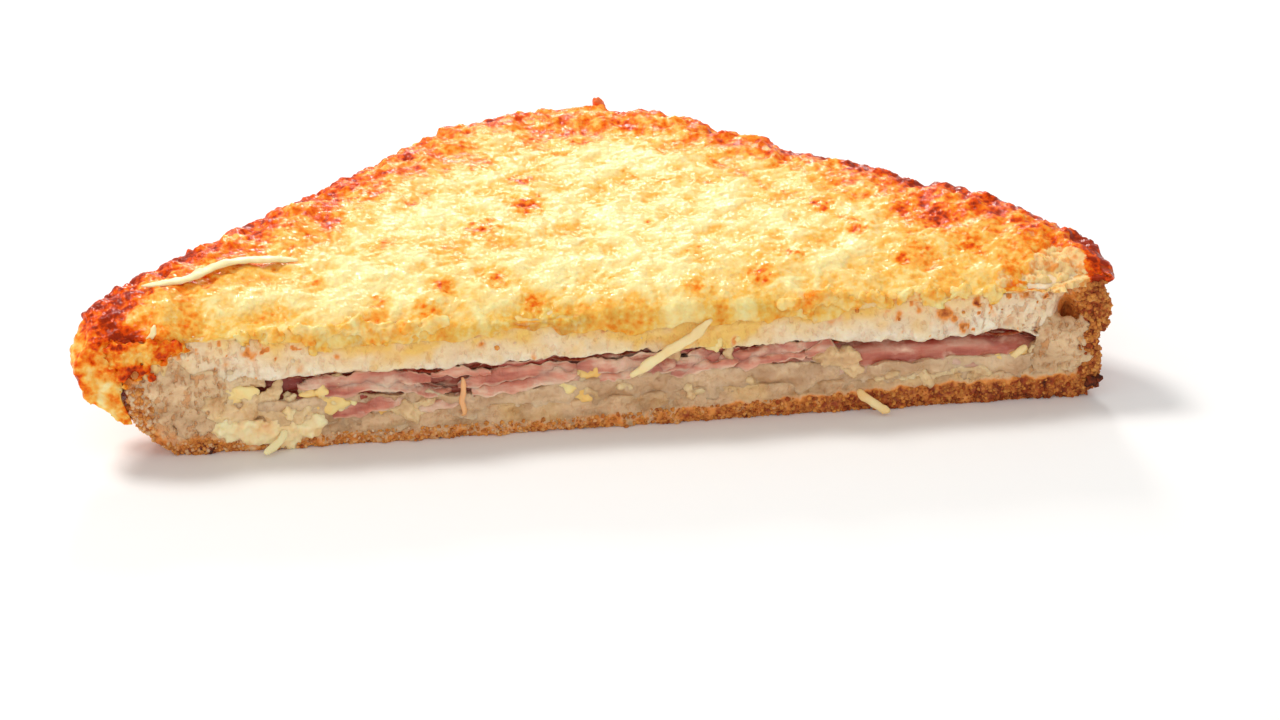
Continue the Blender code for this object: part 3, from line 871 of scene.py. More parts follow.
def shows_cheese(p, n):
    """True on the side of the cheese that shows: its top, its rim and its edge at the cut."""
    return n.z > 0.1 or (n.z > -0.35 and (p.y < 0.002 or n.dot(outward(p)) > 0.2))


def runs_on_cut(p, n):
    """True on the cheese's edge at the cut."""
    return n.y < -0.4 and p.y < 0.0008


class CROQUE_OT_cheese(bpy.types.Operator):
    """Add the melted and browned cheese on top"""

    bl_idname = "croque.cheese"
    bl_label = "Melted cheese"

    def execute(self, context):
        s = context.scene.croque_cheese
        bm = fused(solid_copy("melted_cheese"), s.voxel)
        refine(bm, shows_cheese)
        refine(bm, runs_on_cut)
        work_cheese(bm, s)
        finish = cheese_finish(s, context.scene.croque_bread, "Gratin")
        finished("gratin", bm, finish, "melted_cheese", ["melted_cheese"])
        return {"FINISHED"}


# Bread -------------------------------------------------------------------------------------

# Stains on the cut of the top slice: place along and above, radius in mm, and strength
STAINS = (
    (-67.4, 16.6, 1.5, 0.55), (-63.4, 10.7, 0.8, 0.45), (-59.6, 14.3, 0.6, 0.45), (-56.1, 15.8, 1.3, 0.50),
    (-48.6, 13.2, 0.6, 0.50), (-43.1, 14.4, 0.5, 0.50), (-21.5, 14.9, 0.7, 0.45), (-21.9, 16.9, 0.9, 0.60),
    (-13.6, 13.0, 0.5, 0.40), (17.1, 13.3, 0.6, 0.45), (32.3, 15.6, 1.2, 0.42), (42.2, 15.2, 0.9, 0.42),
    (45.2, 16.2, 1.0, 0.36), (49.4, 15.2, 1.4, 0.55), (52.3, 13.2, 0.8, 0.45), (54.5, 16.4, 0.7, 0.75),
    (61.6, 17.4, 0.9, 0.62), (65.2, 16.8, 0.5, 0.80), (51.0, 14.2, 0.6, 0.60), (57.0, 14.6, 0.6, 0.40),
)


def open_crumb(x):
    """How open the crumb is: smeared flat by the knife in the middle, torn at the ends."""
    return 0.40 + 0.60 * rise(abs(x + 0.004), 0.044, 0.066)


def crumb_height(p, s, openness):
    """Height of the cut crumb: broad swellings, smears along the cut and, where open, pores. Also the
    painted shade in the pores.
    """
    flat = Vector((p.x / 1.6, p.y, p.z))
    smear = Vector((p.x / 4, p.y, p.z))
    torn = 0.0006 * lumps(p, 0.0012, 2, 36.0)
    pore = fade(cells(flat + Vector((torn, 0, torn)), 0.0017, 2.0), 0.10, 0.34)
    small = fade(cells(flat, 0.0008, 5.0), 0.12, 0.40)
    height = s.relief * lumps(flat, 0.0035, 3) + 0.00006 * lumps(smear, 0.0009, 2, 3.0)
    height += 0.00025 * openness * lumps(p, 0.0010, 3, 1.0)
    # Painted shade: how dark the pores are painted
    dark = (0.7 * pore + 0.3 * small) * openness
    return height - s.pores * openness * (0.8 * pore + 0.5 * small), min(dark, 1.0)


def crust_tone(p, edge):
    """How toasted the crust is, 0 to 1, on the cut and on the crust itself."""
    deep = 0.0036 + 0.0022 * rise(p.x, 0.0, 0.060)
    deep += 0.0034 * rise(-p.x, 0.050, 0.070) * fade(p.z, 0.007, 0.012)
    deep += 0.0024 * rise(p.x, 0.060, 0.069) * rise(p.z, 0.006, 0.011)
    near = fade(edge + 0.0010 * lumps(p, 0.0018, 3, 12.0), 0.0006, deep)
    even = 0.44 + 0.12 * rise(p.x, -0.072, -0.055) + 0.12 * rise(p.x, -0.05, 0.05)
    return near * (even + 0.30 * lumps(p, 0.0035, 3, 13.0))


def torn_end(p):
    """1 at the two ends of the cut, where the crumb tore open."""
    return max(rise(p.x, 0.054, 0.066), 0.6 * rise(-p.x, 0.060, 0.070))


def crust_relief(p, s):
    """Height of the granules and dents of the toasted crust."""
    broad = 0.0006 * lumps(p, 0.0032, 3, 15.0)
    return broad + s.grain * (0.5 - cells(p, 0.0011, 3.0) + 0.9 * lumps(p, 0.0011, 2, 19.0))


def stained(p):
    """How far bits of toasted cheese stained the cut crumb at a place."""
    ragged = 0.8 + 0.9 * lumps(p, 0.0010, 2, 54.0)
    found = 0.0
    for x, z, radius, strength in STAINS:
        away = math.hypot(p.x - x * MM, p.z - z * MM)
        found = max(found, spot(away, radius, strength) * ragged)
    return found


def cut_share(p, n):
    """1 on the cut face of a slice."""
    return rise(-n.y, 0.15, 0.6) * fade(p.y, 0.001, 0.002)


def crust_share(p, n, edge):
    """1 on the crust around a slice."""
    return rise(n.dot(outward(p)), 0.2, 0.6) * fade(edge, 0.001, 0.003)


def cheese_soaked(p, edge, openness):
    """How far the cheese soaked into the top slice, 0 to 1: under it, in spots and at the left."""
    high = TOP_OF_BREAD - 0.0006 + 0.0014 * lumps(p, 0.005, 3, 6.0)
    high += 0.0020 * rise(abs(p.x - 0.002), 0.030, 0.060) - 0.0024 * bell(p.x, -0.038, 0.012)
    high -= 0.0032 * bell(p.x, 0.010, 0.013)
    soaked = 0.45 * rise(p.z, high - 0.0050, high - 0.0010) + 0.55 * rise(p.z, high - 0.0020, high)
    soaked *= 1.0 - 0.9 * rise(p.x, 0.048, 0.062)
    soaked *= 0.95 + 0.8 * lumps(p, 0.0040, 3, 62.0)
    halo = fade(edge + 0.002 * lumps(p, 0.003, 3, 53.0), 0.003, 0.011)
    soaked = max(soaked, 0.8 * halo * rise(-p.x, 0.050, 0.070))
    soaked += 0.45 * rise(lumps(p, 0.0030, 3, 27.0), 0.30, 0.6) * (1.0 - openness)
    return min(max(soaked, 0.0), 1.0)


def torn_hollow(p):
    """1 in the hollow and the split that the knife tore in the crumb at the right end, which are dug in
    and painted with shade.
    """
    hollow = bell(math.hypot(p.x - 0.0693, 0.5 * (p.z - 0.0128)), 0.0, 0.0017)
    split = 0.0690 + 0.0008 * lumps(Vector((0, 0, p.z)), 0.0025, 2, 52.0)
    return max(hollow, 0.6 * bell(p.x, split, 0.0007) * rise(p.z, 0.0100, 0.0130))


def hang_lip(move, p, low):
    """Adds to a move how the lower edge of the top slice hangs in scallops over the filling, and
    how it comes down at the two ends of the pocket."""
    ragged = max(0.2, 0.6 + 0.9 * ripple(p.x, 0.0070, 1, 56.0))
    scallop = 0.9 * ripple(p.x, 0.0060, 2, 14.0) + 0.7 * ragged * ripple(p.x, 0.0017, 3, 38.0)
    lip = low * fade(p.y, 0.0003, 0.0020)
    move.z -= lip * max(0.0006 + 0.0010 * scallop, 0.0)
    closes = rise(p.x, 0.058, 0.067) * fade(p.x, 0.067, 0.071) + rise(-p.x, 0.056, 0.063)
    move.z -= 0.0016 * closes * fade(p.z, ROOF, ROOF + 0.0030) * fade(p.y, 0.001, 0.004)


def work_top_slice(bm, s):
    """Roughens the crumb and the crust of the top slice, and soaks it with cheese."""

    def shape(p, n):
        edge = from_crust(p)
        front = cut_share(p, n)
        crust = crust_share(p, n, edge)
        toast = max(crust_tone(p, edge), (0.62 + 0.3 * lumps(p, 0.003, 3, 25.0)) * crust)
        openness = open_crumb(p.x)
        relief, dark = crumb_height(p, s, openness)
        tears = 0.0012 * lumps(p, 0.0030, 3, 4.0) + 0.0004 * lumps(p, 0.0008, 2, 26.0) - 0.0003
        relief += torn_end(p) * tears
        calm = rise(p.z, TOP_OF_BREAD - 0.0034, TOP_OF_BREAD - 0.0010) * fade(abs(p.x), 0.060, 0.066)
        relief *= 1.0 - 0.8 * calm
        grains = max(crust, front * rise(toast, 0.25, 0.5))
        move = n * (relief * front * (1.0 - grains) + crust_relief(p, s) * grains)
        hollow = torn_hollow(p) * front
        move.y += 0.0052 * hollow + 0.0002 * calm * front
        move.z += 0.0005 * rise(n.z, 0.2, 0.7)
        low = fade(p.z, ROOF + 0.0003, ROOF + 0.0024) * fade(abs(p.x), 0.055, 0.063)
        hang_lip(move, p, low)
        move.y -= 0.0004 * front * bell(p.z, ROOF + 0.0006, 0.0009) * low

        moist = max(low, 0.5 * fade(p.z, 0.0140, 0.0165) * (1.0 - 0.6 * openness))
        fleck = rise(lumps(p, 0.0014, 2, 43.0), 0.48, 0.62) * front * rise(abs(p.x), 0.030, 0.050)
        # The tear's hollow is painted toasted and dark: painted shade in it. The pore tone is painted
        # shade in the pores
        toast = max(toast, 0.42 * fleck, stained(p) * front, 0.60 * hollow)
        soaked = cheese_soaked(p, edge, openness)
        return move, (toast, soaked, moist, max(dark * front, hollow), openness * front)

    work_over(bm, shape, ("toast", "soaked", "moist", "pore", "open"))


def work_bottom_slice(bm, s):
    """Roughens the crumb and the crust of the bottom slice, and toasts its foot and underside."""

    def shape(p, n):
        edge = from_crust(p)
        front = cut_share(p, n)
        crust = crust_share(p, n, edge)
        under = rise(-n.z, 0.5, 0.9)
        relief, dark = crumb_height(p, s, max(open_crumb(p.x), 0.5))
        relief += torn_end(p) * 0.0009 * lumps(p, 0.0028, 3, 28.0)
        right = rise(p.x, -0.02, 0.07)
        thick = 0.0018 + 0.0022 * right + 0.0009 * ripple(p.x, 0.004, 3, 17.0)
        base = fade(p.z, thick - 0.0009, thick + 0.0006)
        toast = base * (0.30 + 0.34 * right + 0.32 * lumps(p, 0.0016, 3, 18.0))
        toast += 0.45 * bell(p.x, -0.065, 0.005) * fade(p.z, 0.0015, 0.0045)
        toast = max(toast, crust_tone(p, edge), (0.58 + 0.3 * lumps(p, 0.003, 3, 25.0)) * crust)
        grains = max(front * max(base, rise(toast, 0.25, 0.5)), crust)
        move = n * (relief * front * (1.0 - grains) + crust_relief(p, s) * grains)
        ragged = max(0.0, lumps(Vector((p.x, p.y, 0)), 0.0013, 2, 20.0))
        move.z += 0.0007 * ragged * fade(p.z, 0.0002, 0.0012) * fade(p.y, 0.0, 0.0015)
        move.z += under * 0.0003 * max(0.0, lumps(p, 0.0018, 3, 21.0)) * rise(p.y, 0.001, 0.003)
        move.z += 0.0004 * rise(n.z, 0.2, 0.7) * fade(edge, 0.006, 0.009)
        move.x += 0.0040 * rise(-p.x, 0.060, 0.0743) * fade(p.z, 0.0, 0.0080)
        baked = 0.42 + 0.22 * lumps(p, 0.008, 3, 22.0) + 0.18 * lumps(p, 0.0012, 2, 23.0)
        baked += 0.18 * fade(edge, 0.0005, 0.0030)
        toast += under * (baked - toast)
        soaked = 0.25 * rise(lumps(p, 0.007, 2, 24.0), 0.0, 0.5) * (1.0 - base)
        moist = (1.0 - 0.6 * torn_end(p)) * (1.0 - crust)
        move.z = max(move.z, -p.z)
        open_here = max(open_crumb(p.x), 0.4) * front * (1.0 - base)
        # The pore tone is painted shade in the pores
        return move, (toast, soaked, moist, dark * front * (1.0 - base), open_here)

    work_over(bm, shape, ("toast", "soaked", "moist", "pore", "open"))


class CROQUE_OT_bread(bpy.types.Operator):
    """Add the two slices of bread"""

    bl_idname = "croque.bread"
    bl_label = "Slices of bread"

    def execute(self, context):
        s = context.scene.croque_bread
        for name, node, work, wet, mottle in (
            ("top_bread", "top_slice", work_top_slice, s.moist, 0.12),
            ("bottom_bread", "bottom_slice", work_bottom_slice, s.soggy, 0.32),
        ):
            bm = fused(solid_copy(node), s.voxel)
            refine(bm, lambda p, n: p.y < 0.0008 and n.y < -0.1)
            work(bm, s)
            slot = frame_slot(node)
            finished(name, bm, bread_finish(name, s, wet, mottle), slot, [node])
        return {"FINISHED"}


# Filling -----------------------------------------------------------------------------------


def fill_end(p):
    """How far the filling spreads along the cut, into the two ends of the pocket."""
    return math.copysign(0.0045 * rise(abs(p.x), 0.050, 0.0625), p.x)


def work_lower_sauce(bm):
    """Lets the sauce that soaked into the bottom slice run down into the crumb at the cut."""

    def spread(p, n, side):
        near = fade(p.y, 0.0005, 0.004)
        ragged = 0.0015 * ripple(p.x, 0.0040, 3, 49.0)
        up = 0.0015 - 0.0010 * rise(p.x, 0.028, 0.036)
        down = 0.0027 - 0.0010 * rise(p.x, -0.02, 0.05) - 0.0012 * rise(abs(p.x), 0.050, 0.062)
        return Vector((fill_end(p), 0, near * (up * side - (down + ragged) * (1.0 - side)))), ()

    def shape(p, n, side):
        near = fade(p.y, 0.0005, 0.004)
        front = fade(p.y, 0.0, 0.0006)
        move = n * near * (0.0004 * lumps(p, 0.0028, 3, 30.0) + 0.0002 * lumps(p, 0.0010, 2, 31.0))
        rolling = ripple(p.x, 0.0055, 3, 32.0)
        lumpy = lumps(Vector((p.x / 1.2, 0, p.z)), 0.0040, 3, 48.0)
        out = 1.1 * rise(side, 0.0, 0.7) - 0.9 + 1.7 * lumpy
        move.y -= 0.0005 * front * out
        move.z += 0.0006 * near * rolling * side
        return move, ()

    mark_sides(bm)
    refine_band(bm, depth=0.004, length=0.0012)
    work_over(bm, spread)
    refine_band(bm, depth=0.003, length=0.00038)
    work_over(bm, shape)


def work_upper_sauce(bm):
    """Sets the thin sauce under the top slice back a little behind the lip of the crumb."""

    def shape(p, n, side):
        near = fade(p.y, 0.0005, 0.004)
        front = fade(p.y, 0.0, 0.0006)
        move = n * near * (0.0003 * lumps(p, 0.0030, 3, 33.0) + 0.0002 * lumps(p, 0.0010, 2, 34.0))
        move += Vector((0.5 * fill_end(p), 0.0022 * front, 0.0004 * near * side))
        move.z -= 0.0005 * near * (1.0 - side) * ripple(p.x, 0.0040, 3, 39.0)
        return move, ()

    mark_sides(bm)
    refine_band(bm, depth=0.003, length=0.00042)
    work_over(bm, shape)


def work_ham(bm, s, swell, set_back, red, seed):
    """Thickens the ham at the cut, tears its lower edge and sets its upper side back under the
    lip, where it is painted deep red as painted shade. The sheets behind torn ends are set back as a
    whole, and painted deeper red as their shade."""

    def spread(p, n, side):
        near = fade(p.y, 0.0, 0.006)
        end = rise(p.x, 0.046, 0.0605)
        move = Vector((0.0062 * end, 0, near * swell * (0.6 * side - 1.4 * (1.0 - side))))
        move.z -= near * (0.0024 * rise(p.x, 0.054, 0.0605) * side + 0.0006 * end)
        return move, ()

    def shape(p, n, side):
        near = fade(p.y, 0.0, 0.006)
        front = fade(p.y, 0.0, 0.0015)
        tear = ripple(p.x, 0.0050, 3, seed)
        nick = lumps(p, 0.0009, 2, seed + 1)
        wave = lumps(Vector((p.x, p.y, 0)), 0.0070, 2, seed + 2)
        back = set_back + s.ragged * (0.9 * tear + 0.3) + 0.0018 * rise(side, 0.60, 1.0) + 0.00018 * nick
        move = Vector((0, front * back, 0.0004 * near * wave))
        move.z += near * (1.0 - side) * 0.0009 * tear
        move += n * near * (0.00030 * lumps(p, 0.002, 2, seed + 4) + 0.00014 * nick)
        pale = front * fade(side, 0.0, 0.28) * (0.55 + 0.4 * tear)
        # Painted shade: the upper side, under the lip, is painted deep red
        deep = rise(side + 0.25 * lumps(p, 0.004, 2, seed + 3), 0.55, 0.95) * 0.9
        return move, (max(pale, 0.0), max(deep, red))

    mark_sides(bm)
    refine_band(bm, depth=0.006, length=0.0012)
    work_over(bm, spread)
    refine_band(bm, depth=0.004, length=0.00042)
    work_over(bm, shape, ("edge", "deep"))


class CROQUE_OT_filling(bpy.types.Operator):
    """Add the white sauce and the ham"""

    bl_idname = "croque.filling"
    bl_label = "Ham and sauce"

    def execute(self, context):
        s = context.scene.croque_filling
        for node, work, tint in (
            ("lower_sauce", work_lower_sauce, s.thin_sauce),
            # The upper sauce is tinted with the deep ham colour: painted dark red shade in the gap under
            # the lip
            ("upper_sauce", work_upper_sauce, s.ham_deep_and_shade),
        ):
            bm = solid_copy(node)
            work(bm)
            finished(node + "_layer", bm, sauce_finish(node, tint), frame_slot(node), [node])
        ham = ham_finish(s)
        # red is the least deep-red tone of a sheet: painted shade for the three sheets set back under the
        # lip
        for seed, node, swell, set_back, red in (
            (40.0, "ham_left_lower", 0.0006, 0.0012, 0.65),
            (47.0, "ham_left_upper", 0.0006, 0.0014, 0.65),
            (54.0, "ham_middle", 0.0005, 0.0012, 0.65),
            (61.0, "ham_right", 0.0013, 0.0, 0.42),
        ):
            bm = solid_copy(node)
            work_ham(bm, s, swell, set_back, red, seed)
            finished(node + "_sheet", bm, ham, frame_slot(node), [node])
        return {"FINISHED"}


# Shreds, bits and granules -----------------------------------------------------------------

TOP_SHRED_THICKNESS = 0.0008
CUT_SHRED_THICKNESS = 0.0006
HAM_END_THICKNESS = 0.0007
SHRED_LIFT = 0.0006  # how far a shred's middle lies above the cheese
# Radii of the lumps before they are flattened. Most lists below give each lump a share of one
CLUMP_SIZE = 0.0026
SAUCE_LUMP_SIZE = 0.0022
FLAKE_SIZE = 0.0020
NUB_SIZE = 0.0018

# Shreds on top, as places along the cut and back from it, in mm
TOP_SHREDS = (((-71, 10.6), (-64.5, 11.6), (-57, 16.0), (-47, 17.6)),)
# Shreds on the cut and below it, as places along, out of and above, and widths, in mm, and browning
CUT_SHREDS = (
    (
        ((13.4, -0.5, 16.8), (10.5, -1.2, 14.6), (6.5, -1.6, 12.4), (2.5, -1.6, 9.8), (1, -1.3, 8.6)),
        1.6, 0.10,
    ),
    (((36, 0.0, 3.4), (38, -1.4, 2.0), (40.5, -3.2, 0.7)), 1.3, 0.14),
    (((-51, -0.6, 3.4), (-52, -1.6, 2.0), (-54.5, -3.0, 0.7)), 1.3, 0.02),
    (((59, 0.2, 6.2), (60.5, -0.3, 7.6), (62.4, 0.1, 9.0)), 1.2, 0.14),
    (((-71.8, 0.8, 18.0), (-70.4, -0.4, 19.6), (-69.8, 0.0, 21.4)), 0.8, 0.0),
    (
        ((-24.4, 0.0, 9.8), (-24.2, -0.5, 8.0), (-24.5, -0.6, 6.0), (-24.1, -0.4, 4.4), (-24.3, 0.2, 3)),
        0.9, 0.40,
    ),
)
# The nub of cheese on the rim at the back, as a place in the plane, in metres
NUB = (0.008, 0.0745)
# Melted bits in the filling, as places along and above, in mm, and size in shares
CUT_BITS = (
    (-57.6, 9.0, 1.2), (-45.6, 8.4, 1.1), (-44.0, 6.8, 1.3), (-42.6, 6.4, 0.8), (-50, 5.4, 0.9),
    (-36, 4.6, 0.7), (-9, 7.2, 1.1), (-6.8, 7.8, 0.9), (-4.4, 8.2, 1.1), (-12, 6.4, 0.8), (59.6, 6.2, 1.0),
    (61.0, 7.6, 0.8), (14.6, 12.2, 0.8), (17.4, 12.8, 0.6), (-5.6, 5.6, 0.9),
)
# Clumps of melted cheese at the foot of the cut and over its left corner, written the same way
CLUMPS = (
    (-60, 4.0, 0.9), (-58, 3.4, 1.1), (-55.6, 3.4, 1.2), (-53.4, 2.6, 1.2), (-51.4, 2.0, 1.0),
    (-52, 3.6, 1.1), (-49.6, 3.6, 1.2), (-47.6, 3.2, 0.9), (-46, 4.0, 0.8), (-50, 5.0, 0.8),
)
FLAP = (
    (-75.6, 17.6, 0.9), (-74.2, 17.8, 0.9), (-72.4, 17.6, 0.9), (-70.4, 17.8, 0.8), (-68.4, 17.9, 0.7),
    (-66.8, 17.6, 0.6), (-73.4, 16.6, 0.7), (-71.4, 16.8, 0.7), (-69.4, 17.0, 0.5), (-75.0, 15.8, 0.7),
    (-73.2, 15.4, 0.6), (-70.2, 16.0, 0.5), (-71.8, 14.6, 0.5), (-74.4, 13.8, 0.6), (-72.6, 13.0, 0.4),
    (-67.6, 16.6, 0.4), (-68.4, 15.4, 0.3), (-65.4, 17.2, 0.4), (-74.6, 11.8, 0.4), (-70.6, 13.2, 0.3),
)
# Torn ends of ham at the cut: places along and above in mm, width in mm, tilt up, depth into the
# cut in mm, and how deep red, which paints the shade of the strips that are set back or turned down
HAM_ENDS = (
    (((-49, 9.6), (-45, 10.2), (-41, 10.0), (-37, 10.4), (-33, 10.2), (-29, 9.4)), 2.2, 0.3, 0.5, 0.35),
    (((-46, 8.4), (-42, 8.9), (-38, 9.4), (-34, 9.0), (-30, 8.2), (-26, 7.4)), 1.9, 0.6, 0.3, 0.15),
    (((-45, 6.6), (-42, 7.0), (-39, 7.4), (-36, 7.6), (-33, 8.0)), 1.6, -0.4, 0.9, 0.75),
    (((-46, 5.4), (-43, 5.6), (-39, 5.9), (-35, 6.4), (-32, 6.3)), 2.4, 0.4, 0.1, 0.15),
    (((-36, 7.8), (-32, 8.0), (-28, 7.6), (-26, 7.0)), 1.5, -0.5, 0.8, 0.85),
    (((-31, 5.0), (-28, 5.8), (-25, 6.2), (-22, 6.3)), 1.9, 0.5, 0.0, 0.1),
    (((-29, 10.4), (-26, 10.6), (-23, 10.5), (-20, 10.2)), 1.4, 0.2, 0.3, 0.05),
    (((-25, 8.4), (-21, 9.2), (-17, 9.8), (-12, 10.0), (-7, 10.2)), 2.3, 0.4, 0.4, 0.25),
    (((-23, 7.2), (-19, 7.7), (-15, 8.3), (-11, 8.9), (-7, 9.0)), 2.3, 0.7, 0.1, 0.15),
    (((-22, 10.9), (-18, 11.0), (-14, 11.1), (-10, 11.2)), 1.1, -0.6, 1.0, 0.9),
    (((-8, 9.6), (-4, 10.0), (0, 10.0), (4, 9.8), (8, 9.6)), 2.4, 0.4, 0.4, 0.1),
    (((-8, 8.2), (-4, 8.2), (0, 8.6), (3, 8.8)), 1.8, 0.7, 0.0, 0.05),
    (((1, 10.9), (4, 11.3), (8, 11.4), (12, 11.0)), 1.2, -0.5, 0.9, 0.95),
    (((3, 8.9), (7, 9.4), (11, 9.8), (15, 10.2)), 2.0, 0.3, 0.3, 0.45),
    (((6, 8.2), (10, 8.5), (14, 9.1), (18, 9.6)), 1.6, 0.7, 0.1, 0.2),
    (((10, 10.6), (13, 11.2), (16, 11.4), (18, 11.0)), 1.3, -0.2, 0.6, 0.75),
    (((14, 9.6), (18, 10.2), (22, 10.8), (27, 11.2), (31, 11.4)), 2.0, 0.4, 0.3, 0.25),
    (((17, 8.8), (21, 9.3), (25, 9.9), (29, 10.2)), 1.7, 0.7, 0.0, 0.1),
    (((28, 9.6), (30, 10.6), (31.5, 11.0), (32.0, 9.8)), 1.8, 0.3, 0.2, 0.2),
    (((-64, 10.4), (-58, 9.9), (-54, 9.7), (-50, 9.7), (-45, 9.7)), 4.0, 0.2, 2.6, 0.9),
    (((-47, 10.9), (-30, 11.2), (-12, 11.5), (6, 11.6), (24, 11.6), (34, 11.4)), 2.2, 0.1, 1.9, 0.8),
    (((-10, 10.2), (-4, 10.6), (2, 10.8), (8, 10.4)), 3.4, 0.2, 2.4, 0.9),
    (((-41, 8.4), (-36, 8.8), (-30, 8.6)), 1.9, 0.2, 1.1, 0.7),
    (((21, 8.8), (27, 9.3), (33, 9.1)), 1.7, 0.2, 0.9, 0.55),
    (((22, 8.8), (27, 9.6), (31, 9.8), (36, 9.8)), 3.6, 0.2, 2.4, 0.8),
)
# Pale lumps of sauce and crumb between the ham and the bottom slice, written as the bits are
SAUCE_LUMPS = (
    (-62, 7.4, 1.8), (-60, 6.0, 1.6), (-56, 6.4, 1.5), (-52, 5.6, 1.4), (-48, 5.2, 1.3), (-33, 4.8, 1.2),
    (-30, 5.2, 1.1), (-6, 6.4, 1.3), (1, 7.0, 1.2), (31, 9.4, 1.3), (33, 8.6, 1.5), (35, 7.4, 1.4),
    (41, 5.4, 1.2), (46, 4.8, 1.3), (51, 5.2, 1.1), (56, 4.9, 1.2), (20, 5.6, 1.1), (10, 4.6, 1.0),
)
# Flakes of melted cheese and sauce that stand in the pocket: place along and above, width, height
# and depth into the cut, in mm
FLAKES = (
    (-58.6, 8.6, 3.4, 4.4, 0.6), (-55.6, 7.4, 2.6, 3.6, 0.2), (-53.0, 8.2, 2.8, 5.8, 0.5),
    (-50.4, 7.0, 2.4, 3.6, 0.9), (-42.9, 9.8, 2.6, 3.4, 0.9), (-40.2, 8.6, 2.0, 2.6, 0.7),
    (-60.8, 7.4, 2.4, 2.4, 0.1), (-33.0, 5.4, 3.4, 1.8, 0.0), (8.0, 11.0, 2.2, 1.8, 0.5),
    (-60.0, 9.6, 2.4, 2.2, 0.7), (-57.4, 10.4, 2.0, 1.8, 1.2), (-47.4, 9.0, 2.4, 3.0, 0.9),
    (16.0, 10.6, 1.6, 2.2, 0.3), (63.6, 7.6, 2.6, 2.4, 0.4),
)
# Lumps of melted cheese along the cheese's edge at the cut, written as the bits are
FRINGE = (
    (-57.0, 18.2, 0.7), (-53.0, 18.5, 0.8), (-47.8, 18.4, 0.9), (-45.7, 16.6, 0.9), (-44.0, 18.8, 0.7),
    (-41.1, 18.9, 1.1), (-38.6, 18.6, 0.8), (-36.3, 17.5, 1.2), (-34.6, 18.2, 0.8), (-31.8, 17.7, 1.0),
    (-28.6, 18.7, 0.8), (26.0, 18.5, 0.8), (29.2, 18.2, 1.0), (32.6, 18.6, 0.9), (35.4, 18.0, 0.8),
    (39.0, 18.4, 0.9), (43.0, 18.6, 0.7), (47.5, 18.2, 0.9), (52.0, 18.5, 0.8), (57.0, 18.3, 0.8),
)
# Crumb that the knife tore at the two ends of the pocket, written the same way
TORN_CRUMB = (
    (-71, 10.4, 1.0), (-69, 10.4, 1.5), (-66.5, 10.6, 1.6), (-64, 10.6, 1.5), (-62, 9.6, 1.3),
    (-68, 8.0, 1.7), (-65, 8.0, 1.7), (-62.5, 6.6, 1.5), (-60.5, 4.8, 1.2), (-66, 5.6, 1.4),
    (66.5, 8.4, 1.5), (68.6, 9.0, 1.4), (65.4, 6.4, 1.3), (67.5, 6.6, 1.4), (69.8, 7.4, 1.3),
    (71.2, 9.6, 1.1), (66.6, 11.6, 0.9), (-58.6, 10.8, 1.1), (-56.2, 11.5, 0.9),
    (65.6, 12.0, 0.8), (66.0, 10.4, 0.7), (63.6, 5.4, 0.9), (-61.8, 10.8, 0.9), (-60.4, 11.4, 0.5),
)
# Charred lumps at the right end of the cut, as places along and above, and sizes, in mm
CHARRED = ((72.8, 2.6, 1.9), (73.8, 2.9, 1.5), (72.0, 2.0, 1.3), (73.4, 1.9, 1.4))


def surface(name):
    """A search tree of a finished piece, for finding places on it."""
    return BVHTree.FromObject(bpy.data.objects[name], bpy.context.evaluated_depsgraph_get())


def rest_on(tree, x, y, lift):
    """The place on top of a piece at a place in the plane, lifted a little."""
    above = Vector((x, y, 0.05)) + CUT_MIDDLE
    hit = tree.ray_cast(above, Vector((0, 0, -1)))[0]
    return hit - CUT_MIDDLE + Vector((0, 0, lift))


def toned_mesh(*tones):
    """An empty mesh that can hold the tones named."""
    bm = bmesh.new()
    for tone in tones:
        bm.verts.layers.float.new(tone)
    return bm


def set_tone(bm, verts, name, value):
    """Gives vertices one value of a tone."""
    layer = bm.verts.layers.float[name]
    for v in verts:
        v[layer] = value


def add_lump(bm, place, size, seed, flat):
    """An uneven lump. flat gives the shares of size that it keeps along the three axes."""
    turn = Matrix.Rotation(0.5 * math.sin(seed), 4, "Y")
    matrix = Matrix.Translation(place) @ turn @ Matrix.Diagonal((*flat, 1.0))
    made = bmesh.ops.create_icosphere(
        bm, subdivisions=LUMP_SPLITTINGS, radius=size, matrix=matrix
    )["verts"]
    for v in made:
        uneven = 0.80 * lumps(v.co, 0.6 * size, 2, seed) + 0.25 * lumps(v.co, 0.0007, 2, seed + 1)
        v.co += (v.co - place) * uneven
    return made


def cut_lumps(places, size, depth, tones, flat, seed):
    """A mesh of lumps at places on the cut, each with the tones named, which a number gives."""
    bm = toned_mesh(*tones)
    for k, (x, z, share) in enumerate(places):
        made = add_lump(bm, Vector((x * MM, depth, z * MM)), size * share, seed + 3 * k, flat)
        for name, values in tones.items():
            set_tone(bm, made, name, values[k % len(values)])
    return bm


def add_melted(name, places, depth, brown, ragged, finish):
    """Adds clumps of melted cheese that share one skin, browned unevenly where they are ragged."""

    def shape(p, n):
        height = 0.0007 * lumps(p, 0.0020, 3, 45.0) + 0.0003 * lumps(p, 0.0008, 2, 46.0)
        return n * height, (brown + ragged * lumps(p, 0.0030, 3, 47.0), 0.0)

    bm = cut_lumps(places, CLUMP_SIZE, depth, {}, (0.9, 0.32, 0.6), 120.0)
    bm = fused(bm, voxel=0.00030)
    work_over(bm, shape, ("browning", "bare"))
    finished(name, bm, finish, "melted_cheese")


